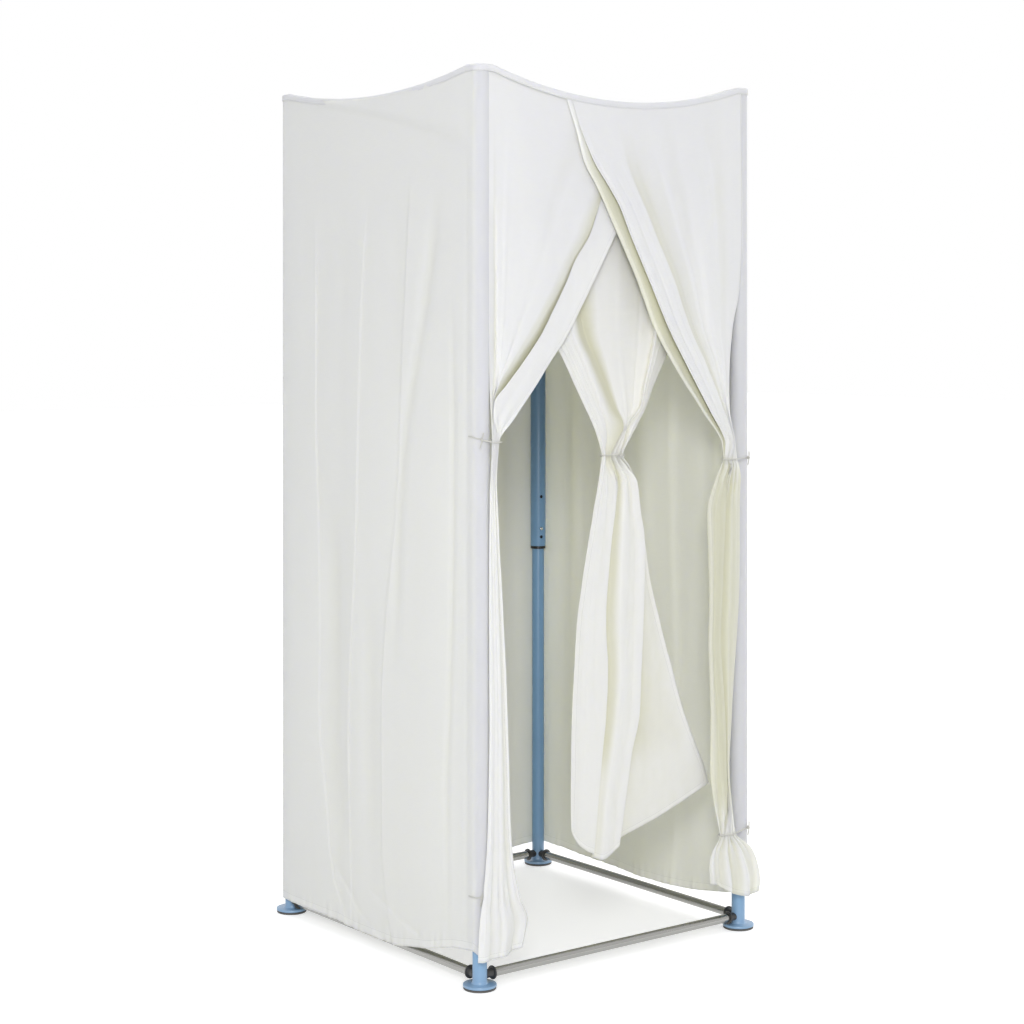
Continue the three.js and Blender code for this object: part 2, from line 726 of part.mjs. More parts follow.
// A door tie starts on the wall outside the post, runs over the front and round the bundle,
// and ends on the post inside. Turns are counted from the side away from the doorway.
const doorTie = (share, plane, side) => {
  const { x, y, z, across, deep } = bundle(share, plane, -1);
  const toDoor = Math.abs(half - Math.abs(x));
  const toFront = -y - half;
  const onWall = skinRadius + tieReach;
  const onPost = upperRadius + tieClearance + tieRadius;
  const points = [[-onWall, -tieTail]];
  for (const turn of tieWallTurns) {
    points.push([-onWall * Math.cos(turn), onWall * Math.sin(turn)]);
  }
  for (const turn of tieBundleTurns) {
    points.push([toDoor + across * Math.cos(turn), toFront + deep * Math.sin(turn)]);
  }
  points.push([onPost * Math.cos(tiePostTurn), onPost * Math.sin(tiePostTurn)]);
  const path = new THREE.CatmullRomCurve3(points.map(([door, front]) =>
    new THREE.Vector3(side * (half - door), -half - front, z)), false, 'centripetal');
  return cordAlong(path, tieSteps);
};
const tieNames = ['upper_tie', 'lower_tie'];
tieNames.forEach((name, i) => {
  addMesh(`left_${name}`, doorTie(leftFlapShares[leftTied[i]], leftFlapPlane, -1), cordCloth);
  addMesh(`right_${name}`, doorTie(rightFlapShares[rightTied[i]], rightFlapPlane, 1), cordCloth);
});

const curtainTie = () => {
  const { x, y, z, across, deep } = bundle(curtainShares[curtainTied[0]], curtainPlane, 1);
  const loop = new THREE.TorusGeometry(1, tieRadius / across, tieSides, tieSteps);
  const position = loop.attributes.position;
  for (let i = 0; i < position.count; i += 1) {
    const turn = Math.atan2(position.getY(i), position.getX(i));
    const out = (Math.hypot(position.getX(i), position.getY(i)) - 1) * across;
    position.setXYZ(
      i,
      x + (across + out) * Math.cos(turn),
      y + (deep + out) * Math.sin(turn),
      z + position.getZ(i) * across);
  }
  return loop;
};
addMesh('curtain_tie', curtainTie(), cordCloth);

export default room;
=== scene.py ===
import math

import bpy
import numpy as np
from mathutils import Matrix, Vector


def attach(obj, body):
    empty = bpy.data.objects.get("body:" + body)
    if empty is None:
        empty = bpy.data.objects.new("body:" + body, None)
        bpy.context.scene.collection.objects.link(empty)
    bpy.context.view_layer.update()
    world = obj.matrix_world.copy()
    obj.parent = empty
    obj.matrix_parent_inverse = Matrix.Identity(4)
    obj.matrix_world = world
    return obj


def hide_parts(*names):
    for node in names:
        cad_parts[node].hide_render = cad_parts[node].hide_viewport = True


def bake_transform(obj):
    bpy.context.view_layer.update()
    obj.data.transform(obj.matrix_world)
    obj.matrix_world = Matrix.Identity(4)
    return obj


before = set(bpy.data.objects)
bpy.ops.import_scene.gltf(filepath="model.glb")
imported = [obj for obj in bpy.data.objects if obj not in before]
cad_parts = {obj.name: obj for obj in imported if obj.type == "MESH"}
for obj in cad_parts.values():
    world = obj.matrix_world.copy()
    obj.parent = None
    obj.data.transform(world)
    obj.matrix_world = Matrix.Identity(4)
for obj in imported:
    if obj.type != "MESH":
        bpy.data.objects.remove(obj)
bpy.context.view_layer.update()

# Camera
# It stands off the front left corner, a little under eye height, and looks across the open doorway.
# The lens is a short telephoto, and the small shift keeps the posts upright in the picture.
camera_data = bpy.data.cameras.new("camera")
camera_data.lens = 74.77
camera_data.sensor_width = 36
camera_data.shift_y = -0.17905
camera = bpy.data.objects.new("camera", camera_data)
camera.location = (-3.143, -4.076, 1.429)
camera.rotation_euler = (math.radians(90), 0, math.radians(-37.636))
bpy.context.scene.collection.objects.link(camera)
bpy.context.scene.camera = camera

# Foot pads
# Thin moulded rubber discs under the feet, with a rounded rim and a shallow ring in the underside.
# They stop the posts from marking the floor.
half_spacing = 0.385
front_left_axis = Vector((-half_spacing, -half_spacing, 0))
corner_names = ["front_left", "front_right", "back_right", "back_left"]
pad_steps = [
    (0.0250, 0.0008), (0.0262, 0.0000), (0.0350, 0.0000), (0.0360, 0.0010),
    (0.0360, 0.0036), (0.0348, 0.0048), (0.0340, 0.0050),
]


def nothing_selected():
    if bpy.context.mode != "OBJECT":
        bpy.ops.object.mode_set(mode="OBJECT")
    bpy.ops.object.select_all(action="DESELECT")


def only_selected(piece):
    nothing_selected()
    piece.select_set(True)
    bpy.context.view_layer.objects.active = piece


def turned(name, steps, sides=64, closed_ring=False, start=front_left_axis):
    """A turned piece: a circle at start, drawn up step by step to each (radius, height) pair."""
    nothing_selected()
    radius, height = steps[0]
    bpy.ops.mesh.primitive_circle_add(
        vertices=sides, radius=radius, fill_type="NOTHING" if closed_ring else "NGON",
        location=(start[0], start[1], start[2] + height))
    piece = bpy.context.object
    piece.name = name
    bpy.ops.object.mode_set(mode="EDIT")
    for next_radius, next_height in steps[1:]:
        bpy.ops.mesh.extrude_region_move(
            TRANSFORM_OT_translate={"value": (0, 0, next_height - height)})
        share = next_radius / radius
        bpy.ops.transform.resize(
            value=(share, share, 1),
            center_override=(start[0], start[1], start[2] + next_height))
        radius, height = next_radius, next_height
    bpy.ops.mesh.select_all(action="SELECT")
    bpy.ops.mesh.remove_doubles(threshold=0.00002)
    bpy.ops.mesh.normals_make_consistent(inside=False)
    bpy.ops.object.mode_set(mode="OBJECT")
    bpy.ops.object.transform_apply(location=True, rotation=True, scale=True)
    return piece


def smoothed(piece, angle=35):
    only_selected(piece)
    bpy.ops.object.shade_smooth_by_angle(angle=math.radians(angle))
    return piece


def modified(piece, kind, **settings):
    """Gives the piece a modifier with these settings and applies it."""
    modifier = piece.modifiers.new(kind.lower(), kind)
    for key, value in settings.items():
        setattr(modifier, key, value)
    only_selected(piece)
    bpy.ops.object.modifier_apply(modifier=modifier.name)


def four_round(piece):
    """The piece and three copies, each with a mesh of its own, in quarter turns round the room."""
    pieces = [piece]
    for _ in range(3):
        copy = piece.copy()
        copy.data = piece.data.copy()
        bpy.context.scene.collection.objects.link(copy)
        pieces.append(copy)
    for turns, copy in enumerate(pieces):
        copy.data.transform(Matrix.Rotation(math.radians(90 * turns), 4, "Z"))
    return pieces


def finished(piece, node, material, body):
    """Names a piece after the node it replaces, and gives it its material, body and slot."""
    piece.name = f"{node}_finished"
    piece.data.materials.clear()
    piece.data.materials.append(material)
    if body:
        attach(piece, body)
    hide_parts(node)


def at_each_corner(piece, ending, material, body):
    """Copies the front left piece to the other corners. The body's name may hold {corner}."""
    pieces = four_round(piece)
    for copy, corner in zip(pieces, corner_names):
        finished(copy, f"{corner}_{ending}", material, body and body.format(corner=corner))
    return pieces


def new_material(name, colour, roughness, metallic=0.0):
    """A material with its Principled shader set, and its tree, ready for more nodes."""
    material = bpy.data.materials.new(name)
    material.use_nodes = True
    shader = material.node_tree.nodes["Principled BSDF"]
    shader.inputs["Base Color"].default_value = (*colour, 1)
    shader.inputs["Roughness"].default_value = roughness
    shader.inputs["Metallic"].default_value = metallic
    return material, material.node_tree, shader


def node_of(tree, kind, **settings):
    node = tree.nodes.new(kind)
    for key, value in settings.items():
        if key in node.inputs:
            node.inputs[key].default_value = value
        else:
            setattr(node, key, value)
    return node


def calc(tree, operation, a, b=None, c=None, clamp=False):
    """A Math node with each input either linked or set."""
    node = node_of(tree, "ShaderNodeMath", operation=operation, use_clamp=clamp)
    for socket, value in zip(node.inputs, (a, b, c)):
        if value is None:
            continue
        if isinstance(value, (int, float)):
            socket.default_value = value
        else:
            tree.links.new(value, socket)
    return node.outputs[0]


def mix_colours(tree, factor, a, b):
    """A colour mix. Each colour is a plain tuple or the socket it comes from."""
    node = node_of(tree, "ShaderNodeMix", data_type="RGBA")
    tree.links.new(factor, node.inputs["Factor"])
    for label, colour in (("A", a), ("B", b)):
        if isinstance(colour, tuple):
            node.inputs[label].default_value = (*colour, 1)
        else:
            tree.links.new(colour, node.inputs[label])
    return node.outputs["Result"]


def raised(tree, shader, height, strength, distance):
    """Feeds a height into the shader's normal."""
    bump = node_of(tree, "ShaderNodeBump", Strength=strength, Distance=distance)
    tree.links.new(height, bump.inputs["Height"])
    tree.links.new(bump.outputs["Normal"], shader.inputs["Normal"])


def new_group(name, inputs, outputs):
    """An empty node group, its named sockets, and its own input and output nodes."""
    group = bpy.data.node_groups.new(name, "ShaderNodeTree")
    for labels, in_out in ((inputs, "INPUT"), (outputs, "OUTPUT")):
        for label in labels:
            kind = "NodeSocketColor" if "Colour" in label else "NodeSocketFloat"
            group.interface.new_socket(label, in_out=in_out, socket_type=kind)
    inside = group.nodes.new("NodeGroupInput").outputs
    out = group.nodes.new("NodeGroupOutput").inputs
    return group, inside, out


def placed_group(tree, group, **settings):
    """The group in a material, with its own values. An underscore stands for a space."""
    node = node_of(tree, "ShaderNodeGroup", node_tree=group)
    for key, value in settings.items():
        node.inputs[key.replace("_", " ")].default_value = value
    return node.outputs


def height_above_floor(tree):
    place = tree.nodes.new("ShaderNodeTexCoord")
    parts = tree.nodes.new("ShaderNodeSeparateXYZ")
    tree.links.new(place.outputs["Object"], parts.inputs[0])
    return parts.outputs["Z"]


def surface_mottle():
    """Shared by the paint, plastics, rubber and metals: cloudy tone, fine grain and dust low down."""
    group, inside, out = new_group(
        "surface_mottle", ("Colour", "Dust Colour", "Tone", "Grain Scale", "Dust", "Dust Height"),
        ("Colour", "Mask", "Grain"))
    place = group.nodes.new("ShaderNodeTexCoord")
    clouds = node_of(group, "ShaderNodeTexNoise", Scale=14.0, Detail=4.0, Roughness=0.6)
    grain = node_of(group, "ShaderNodeTexNoise", Detail=2.0)
    for noise in (clouds, grain):
        group.links.new(place.outputs["Object"], noise.inputs["Vector"])
    group.links.new(inside["Grain Scale"], grain.inputs["Scale"])
    risen = calc(group, "DIVIDE", height_above_floor(group), inside["Dust Height"])
    low = calc(group, "SUBTRACT", 1.0, risen, clamp=True)
    patchy = calc(group, "MULTIPLY", low, clouds.outputs["Fac"])
    dusty = calc(group, "MULTIPLY", patchy, inside["Dust"])
    centred = calc(group, "SUBTRACT", clouds.outputs["Fac"], 0.5)
    toned = node_of(group, "ShaderNodeVectorMath", operation="SCALE")
    group.links.new(inside["Colour"], toned.inputs[0])
    group.links.new(calc(group, "MULTIPLY_ADD", centred, inside["Tone"], 1.0), toned.inputs["Scale"])
    group.links.new(mix_colours(group, dusty, toned.outputs[0], inside["Dust Colour"]), out["Colour"])
    group.links.new(clouds.outputs["Fac"], out["Mask"])
    group.links.new(grain.outputs["Fac"], out["Grain"])
    return group


mottle = surface_mottle()
dust_colour = (0.42, 0.40, 0.36)


def mottled(name, colour, roughness, metallic=0.0, tone=0.12, rough_spread=0.1, grain=900.0,
            bump=0.08, bump_depth=0.0002, dust=0.3, dust_height=0.25):
    """A hard material: its own colour and gloss, with the shared mottle in colour, gloss and bump."""
    material, tree, shader = new_material(name, colour, roughness, metallic)
    group = placed_group(
        tree, mottle, Colour=(*colour, 1), Dust_Colour=(*dust_colour, 1), Tone=tone,
        Grain_Scale=grain, Dust=dust, Dust_Height=dust_height)
    tree.links.new(group["Colour"], shader.inputs["Base Color"])
    spread = calc(tree, "MULTIPLY", calc(tree, "SUBTRACT", group["Mask"], 0.5), rough_spread)
    tree.links.new(calc(tree, "ADD", spread, roughness, clamp=True), shader.inputs["Roughness"])
    raised(tree, shader, group["Grain"], bump, bump_depth)
    return material


black_rubber = mottled(
    "black_rubber", (0.020, 0.020, 0.021), 0.72, tone=0.4, grain=1500.0, bump=0.35, dust=0.5,
    dust_height=0.02)
pad = turned("pad", pad_steps)
at_each_corner(smoothed(pad), "foot_pad", black_rubber, "base_frame")

# Lower posts
# Thin steel tubes, painted light blue, with a round foot disc welded to the end of each.
# The paint is a smooth powder coat, a little dusty near the floor.
blue_colour = (0.205, 0.385, 0.605)
# Near-black painted shade for the lower tube where it lies inside the upper one.
hole_shade_colour = (0.018, 0.020, 0.024)
lower_steps = [
    (0.0352, 0.0053), (0.0366, 0.0058), (0.0370, 0.0064), (0.0370, 0.0096), (0.0364, 0.0108),
    (0.0350, 0.0113), (0.0205, 0.0113), (0.0186, 0.0119), (0.0172, 0.0136), (0.0163, 0.0160),
    (0.0160, 0.0190), (0.0160, 1.0890), (0.0157, 1.0900), (0.0148, 1.0900), (0.0145, 1.0894),
    (0.0145, 0.0400),
]
rod_height = 0.0285
stub_hole_radius = 0.0058
button_turn = math.radians(78)
button_out = Vector((math.cos(button_turn), math.sin(button_turn), 0))
button_height = 0.896
button_hole_radius = 0.0044
lower_reach, upper_reach = 0.018, 0.024


def bored(piece, radius, height, reach, outward):
    """Cuts a round hole through one wall of a post, from its axis outwards."""
    nothing_selected()
    middle = front_left_axis + Vector((0, 0, height)) + reach / 2 * outward
    bpy.ops.mesh.primitive_cylinder_add(vertices=32, radius=radius, depth=reach, location=middle)
    drill = bpy.context.object
    drill.rotation_mode = "QUATERNION"
    drill.rotation_quaternion = outward.to_track_quat("Z", "Y")
    bpy.context.view_layer.update()
    cut_away(piece, drill)


def cut_away(piece, cutter):
    modified(piece, "BOOLEAN", operation="DIFFERENCE", solver="EXACT", object=cutter)
    bpy.data.objects.remove(cutter)


def attribute(tree, name):
    return node_of(tree, "ShaderNodeAttribute", attribute_name=name).outputs["Fac"]


blue_paint = mottled(
    "blue_paint", blue_colour, 0.34, tone=0.14, rough_spread=0.16, grain=380.0, bump=0.10,
    bump_depth=0.0003, dust=0.35, dust_height=0.10)
paint_tree = blue_paint.node_tree
paint_shader = paint_tree.nodes["Principled BSDF"]
paint_shader.inputs["Coat Weight"].default_value = 0.25
paint_shader.inputs["Coat Roughness"].default_value = 0.22
# Inside the upper tube, above the collar, the lower one is painted near-black, as painted shade seen only
# through the holes.
hole_shade_above = 0.866
above = calc(paint_tree, "GREATER_THAN", height_above_floor(paint_tree), hole_shade_above)
hole_shade = calc(paint_tree, "MULTIPLY", attribute(paint_tree, "inner_tube"), above)
painted = paint_shader.inputs["Base Color"].links[0].from_socket
paint_tree.links.new(mix_colours(paint_tree, hole_shade, painted, hole_shade_colour), paint_shader.inputs["Base Color"])
lower = turned("lower", lower_steps, sides=56)
bored(lower, stub_hole_radius, rod_height, lower_reach, Vector((1, 0, 0)))
bored(lower, stub_hole_radius, rod_height, lower_reach, Vector((0, 1, 0)))
bored(lower, button_hole_radius, button_height, lower_reach, button_out)
marks = lower.data.attributes.new("inner_tube", "FLOAT", "POINT")
marks.data.foreach_set("value", [1.0] * len(lower.data.vertices))
at_each_corner(smoothed(lower, 30), "lower_post", blue_paint, "base_frame")

# Upper posts
# The wider tubes that slide over the lower ones, in the same blue paint, with three drilled holes.
# The snap button stands in the middle hole; the other two set the room lower or higher.
upper_steps = [
    (0.0185, 0.8496), (0.0188, 0.8493), (0.0197, 0.8493), (0.0200, 0.8498), (0.0200, 1.9908),
    (0.0198, 1.9914), (0.0188, 1.9914), (0.0185, 1.9908), (0.0185, 0.8496),
]
upper = turned("upper", upper_steps, sides=56, closed_ring=True)
for rise in (-0.022, 0.0, 0.085):
    bored(upper, button_hole_radius, button_height + rise, upper_reach, button_out)
at_each_corner(smoothed(upper, 30), "upper_post", blue_paint, "upper_frame")

# Collars
# Moulded black rings at the lower end of the upper tubes. They centre the inner tube,
# hide the cut edge and carry a small parting line round the middle.
black_plastic = mottled(
    "black_plastic", (0.014, 0.015, 0.017), 0.30, tone=0.3, rough_spread=0.15, grain=1100.0, bump=0.12,
    dust=0.25, dust_height=0.06)
collar_steps = [
    (0.0163, 0.8424), (0.0168, 0.8420), (0.0194, 0.8420), (0.0200, 0.8426), (0.0200, 0.8450),
    (0.01985, 0.8453), (0.01985, 0.8457), (0.0200, 0.8460), (0.0200, 0.8485), (0.0197, 0.8490),
    (0.0183, 0.8490), (0.0182, 0.8495), (0.0182, 0.8685), (0.0178, 0.8690), (0.0163, 0.8690),
    (0.0163, 0.8424),
]
collar = turned("collar", collar_steps, sides=56, closed_ring=True)
at_each_corner(smoothed(collar), "collar", black_plastic, "upper_frame")

# Snap buttons
# Chromed steel pins with a domed tip and a flanged base inside the tube.
# A bent spring strip behind each one presses it outwards.
chrome = mottled(
    "chrome", (0.70, 0.71, 0.72), 0.13, metallic=1.0, tone=0.08, rough_spread=0.16, grain=700.0,
    bump=0.05, bump_depth=0.0001, dust=0.25, dust_height=0.06)
button_steps = [
    (0.0060, 0.0111), (0.0060, 0.0126), (0.0040, 0.0126), (0.0040, 0.0206), (0.00385, 0.0213),
    (0.0034, 0.0219), (0.0027, 0.02232), (0.0018, 0.02250), (0.0009, 0.02259), (0.0002, 0.0226),
]


def from_post(height, along):
    """Turns a piece made upright at the origin to point out of the front left post at a height."""
    place = Matrix.Translation((-half_spacing, -half_spacing, height))
    return place @ along.to_track_quat("Z", "Y").to_matrix().to_4x4()


button = turned("button", button_steps, sides=32, start=(0, 0, 0))
button.data.transform(from_post(button_height, button_out))
at_each_corner(smoothed(button), "snap_button", chrome, "{corner}_button")

# Base rods
# Bright chromed tubes that tie the feet together on all four sides, also across the doorway.
# Each is a plain drawn tube with turned-in ends that butt on the black flanges.
rod_start = 0.0363
rod_steps = [
    (0.0085, 0.0006), (0.0088, 0.0000), (0.0096, 0.0000), (0.0100, 0.0005), (0.0100, 0.6969),
    (0.0096, 0.6974), (0.0088, 0.6974), (0.0085, 0.6968), (0.0085, 0.0006),
]
# The rods get a darker copy of the buttons' chrome, as painted shade for the darker reflections the rods
# show.
shaded_rod_chrome = mottled(
    "shaded_rod_chrome", (0.36, 0.36, 0.35), 0.24, metallic=1.0, tone=0.10, rough_spread=0.16, grain=700.0)
rod = turned("rod", rod_steps, sides=48, closed_ring=True, start=(0, 0, 0))
rod.data.transform(
    Matrix.Translation((-half_spacing + rod_start, -half_spacing, rod_height))
    @ Matrix.Rotation(math.radians(90), 4, "Y"))
for piece, side in zip(four_round(smoothed(rod)), ("front", "right", "back", "left")):
    finished(piece, f"{side}_rod", shaded_rod_chrome, "base_frame")

# Rod ends
# Moulded black connectors between post and rod: a neck saddled to the post and a round flange.
# A stub sits in the post's hole and a spigot, with three grip rings, in the rod.
end_steps = [
    (0.0092, 0.0100), (0.0095, 0.0104), (0.0095, 0.0296), (0.0099, 0.0310), (0.0112, 0.0319),
    (0.0138, 0.0321), (0.0147, 0.0325), (0.0150, 0.0332), (0.0150, 0.0350), (0.0147, 0.0357),
    (0.0140, 0.0360), (0.0082, 0.0360), (0.0082, 0.0440), (0.0079, 0.0442), (0.0079, 0.0448),
    (0.0082, 0.0450), (0.0082, 0.0530), (0.0079, 0.0532), (0.0079, 0.0538), (0.0082, 0.0540),
    (0.0082, 0.0652), (0.0074, 0.0660),
]
saddle_radius = 0.0163
for ending, along in (("rod_end_a", Vector((1, 0, 0))), ("rod_end_b", Vector((0, 1, 0)))):
    rod_end = turned(ending, end_steps, sides=48, start=(0, 0, 0))
    rod_end.data.transform(from_post(rod_height, along))
    nothing_selected()
    bpy.ops.mesh.primitive_cylinder_add(
        vertices=56, radius=saddle_radius, depth=0.06, location=(-half_spacing, -half_spacing, rod_height))
    cut_away(rod_end, bpy.context.object)
    at_each_corner(smoothed(rod_end), ending, black_plastic, "base_frame")

# Button springs
# Strips of hard steel, each bent to a narrow U inside the lower tube.
# The back leg stands on the tube's far wall, and the front leg gives way when the button is pressed.
spring_width = 0.0089
spring_gauge = 0.0008
back_leg, front_leg = -0.0128, 0.0104
leg_top, leg_foot, bend_radius = button_height + 0.0079, button_height - 0.0620, 0.0040
front_bend, front_straight = leg_top - 0.0158, leg_top - 0.0080
leg_inset = 0.001
spring_steel = mottled(
    "spring_steel", (0.42, 0.43, 0.45), 0.30, metallic=1.0, tone=0.1, rough_spread=0.2, grain=1600.0,
    bump=0.15, bump_depth=0.0001, dust=0.0, dust_height=1.0)
line = [(back_leg, leg_top - 0.007 * i) for i in range(8)]
for turn in np.radians([180, 202.5, 225, 247.5, 270, 292.5, 315]):
    line.append((back_leg + bend_radius + bend_radius * math.cos(turn),
                 leg_foot + bend_radius + bend_radius * math.sin(turn)))
line += [tuple(np.array(line[-1]) * (1 - share) + np.array((front_leg, front_bend)) * share)
         for share in (0.25, 0.5, 0.75, 1.0)]
line += [(front_leg, front_straight), (front_leg, leg_top)]
nothing_selected()
bpy.ops.mesh.primitive_plane_add(size=1, location=(0, 0, 0))
spring = bpy.context.object
bpy.ops.object.mode_set(mode="EDIT")
bpy.ops.mesh.select_all(action="SELECT")
bpy.ops.transform.resize(value=(0.0001, spring_width, 1))
bpy.ops.mesh.merge(type="CENTER")
bpy.ops.transform.translate(value=(line[0][0], -spring_width / 2, line[0][1]))
bpy.ops.mesh.extrude_region_move(TRANSFORM_OT_translate={"value": (0, spring_width, 0)})
bpy.ops.mesh.select_all(action="SELECT")
for (x, z), (next_x, next_z) in zip(line[:-1], line[1:]):
    bpy.ops.mesh.extrude_region_move(TRANSFORM_OT_translate={"value": (next_x - x, 0, next_z - z)})
bpy.ops.mesh.select_all(action="SELECT")
bpy.ops.mesh.normals_make_consistent(inside=False)
bpy.ops.object.mode_set(mode="OBJECT")
bpy.ops.object.transform_apply(location=True, rotation=True, scale=True)
modified(spring, "SOLIDIFY", thickness=spring_gauge, offset=0, use_even_offset=True)
modified(spring, "BEVEL", width=0.00012, segments=2, limit_method="ANGLE", angle_limit=math.radians(50))
spring.data.transform(Matrix.Translation(front_left_axis) @ Matrix.Rotation(button_turn, 4, "Z"))
springs = at_each_corner(smoothed(spring), "button_spring", spring_steel, None)
for turns, (piece, corner) in enumerate(zip(springs, corner_names)):
    quarter = Matrix.Rotation(math.radians(90 * turns), 4, "Z")
    post_axis = quarter @ front_left_axis
    start = post_axis + quarter @ (button_out * (back_leg + leg_inset))
    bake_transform(piece)

# Hidden fittings
# The guide bushes inside the tubes and the caps that carry the roof's corners.
# Their solids already have the right shape, so they keep it and get their real finish.
for corner in corner_names:
    for ending in ("guide_bush", "top_cap"):
        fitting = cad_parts[f"{corner}_{ending}"]
        fitting.data.materials.clear()
        fitting.data.materials.append(black_plastic)

# Roof
# A square of thin white polyester over the four post caps, with no rods between them.
# It hangs between the corners, so every edge and the middle sag, and soft folds run from each cap.
top_height = 2.0
skin_radius = 0.0213
edge_reach = half_spacing + skin_radius
roof_reach = half_spacing - 0.020
front_sag, back_sag, left_sag, right_sag = 0.057, 0.055, 0.036, 0.040
cloth_gauge, tape_gauge = 0.0009, 0.0008


def waves(a, b, seed):
    """Smooth random waves, about -1 to 1, over two coordinates counted in waves."""
    tile, gain = 64, 1.5
    turns = np.random.default_rng(seed).uniform(0, 2 * np.pi, (tile, tile))
    ia, ib = np.floor(a).astype(int), np.floor(b).astype(int)
    fa, fb = a - ia, b - ib

    def from_corner(da, db):
        turn = turns[(ia + da) % tile, (ib + db) % tile]
        return np.cos(turn) * (fa - da) + np.sin(turn) * (fb - db)

    sa = fa ** 3 * (fa * (fa * 6 - 15) + 10)
    sb = fb ** 3 * (fb * (fb * 6 - 15) + 10)
    near = from_corner(0, 0) * (1 - sa) + from_corner(1, 0) * sa
    far = from_corner(0, 1) * (1 - sa) + from_corner(1, 1) * sa
    return (near * (1 - sb) + far * sb) * gain


def step(value, low, high):
    t = np.clip((value - low) / (high - low), 0, 1)
    return t * t * (3 - 2 * t)


def roof_height(x, y):
    sx, sy = np.clip(x / roof_reach, -1, 1), np.clip(y / roof_reach, -1, 1)
    across = front_sag + (back_sag - front_sag) * (sy + 1) / 2
    along = left_sag + (right_sag - left_sag) * (sx + 1) / 2
    return top_height - 0.001 - across * (1 - sx ** 2) - along * (1 - sy ** 2)


def averaged(values, reach):
    """Mean over a window of columns, reach to each side."""
    ends = values[:, :1].repeat(reach, 1), values[:, -1:].repeat(reach, 1)
    padded = np.concatenate([ends[0], values, ends[1]], axis=1)
    total = np.cumsum(np.concatenate([padded[:, :1] * 0, padded], axis=1), axis=1)
    return (total[:, 2 * reach + 1:] - total[:, :-2 * reach - 1]) / (2 * reach + 1)


def new_piece(name, vertices, faces, material, uv_name, uvs):
    """A smooth mesh made in code, with one material and a UV map given point by point."""
    mesh = bpy.data.meshes.new(name)
    mesh.from_pydata(vertices.tolist(), [], faces)
    loops = np.zeros(len(mesh.loops), int)
    mesh.loops.foreach_get("vertex_index", loops)
    mesh.uv_layers.new(name=uv_name).data.foreach_set("uv", uvs[loops].ravel().astype(np.float32))
    mesh.materials.append(material)
    mesh.shade_smooth()
    piece = bpy.data.objects.new(name, mesh)
    bpy.context.scene.collection.objects.link(piece)
    return piece


def cloth_sheet(name, points, material, hems=(), gauge=cloth_gauge, outward=(0, 0, 1), reach=8,
                placed_shade=0, outside=None, tube_shade=0):
    """A sheet of cloth from a grid of points, rows downwards. Its UV map is in metres of cloth, and
    attributes give the distance from the nearest hemmed edge, the way along it, a painted shade for
    how deep each point lies in a fold, seen from outside, with any painted shade given by place added,
    and a painted blue-grey shade where it lies on a tube."""
    rows, columns, _ = points.shape
    deep_fold, most = 0.010, 0.6
    if outside is None:
        outside = points @ np.array(outward, float)
    # Painted shade for the folds: how far each point lies below the mean of its neighbours, seen from
    # outside.
    fold_shade = np.clip((averaged(averaged(outside, reach), reach) - outside) / deep_fold, -most, most)
    faces = [
        (i * columns + j, (i + 1) * columns + j, (i + 1) * columns + j + 1, i * columns + j + 1)
        for i in range(rows - 1) for j in range(columns - 1)
    ]
    across, down, along_edge = np.zeros((3, rows, columns))
    across[:, 1:] = np.cumsum(np.linalg.norm(np.diff(points, axis=1), axis=2), axis=1)
    down[1:] = np.cumsum(np.linalg.norm(np.diff(points, axis=0), axis=2), axis=0)
    from_edge = np.ones((rows, columns))
    for edge in hems:
        gap, run = {
            "left": (across, down), "right": (across[:, -1:] - across, down),
            "top": (down, across), "bottom": (down[-1:] - down, across),
        }[edge]
        nearer = gap < from_edge
        from_edge = np.where(nearer, gap, from_edge)
        along_edge = np.where(nearer, run, along_edge)
    uvs = np.stack([across.ravel(), down.ravel()], axis=1)
    sheet = new_piece(name, points.reshape(-1, 3), faces, material, "cloth", uvs)
    for label, values in (("from_edge", from_edge), ("along_edge", along_edge),
                          ("fold_shade", np.clip(fold_shade + placed_shade, -1, 1)),
                          ("tube_shade", tube_shade + np.zeros((rows, columns)))):
        sheet.data.attributes.new(label, "FLOAT", "POINT").data.foreach_set(
            "value", values.ravel().astype(np.float32))
    modified(sheet, "SOLIDIFY", thickness=gauge, offset=0)
    return sheet


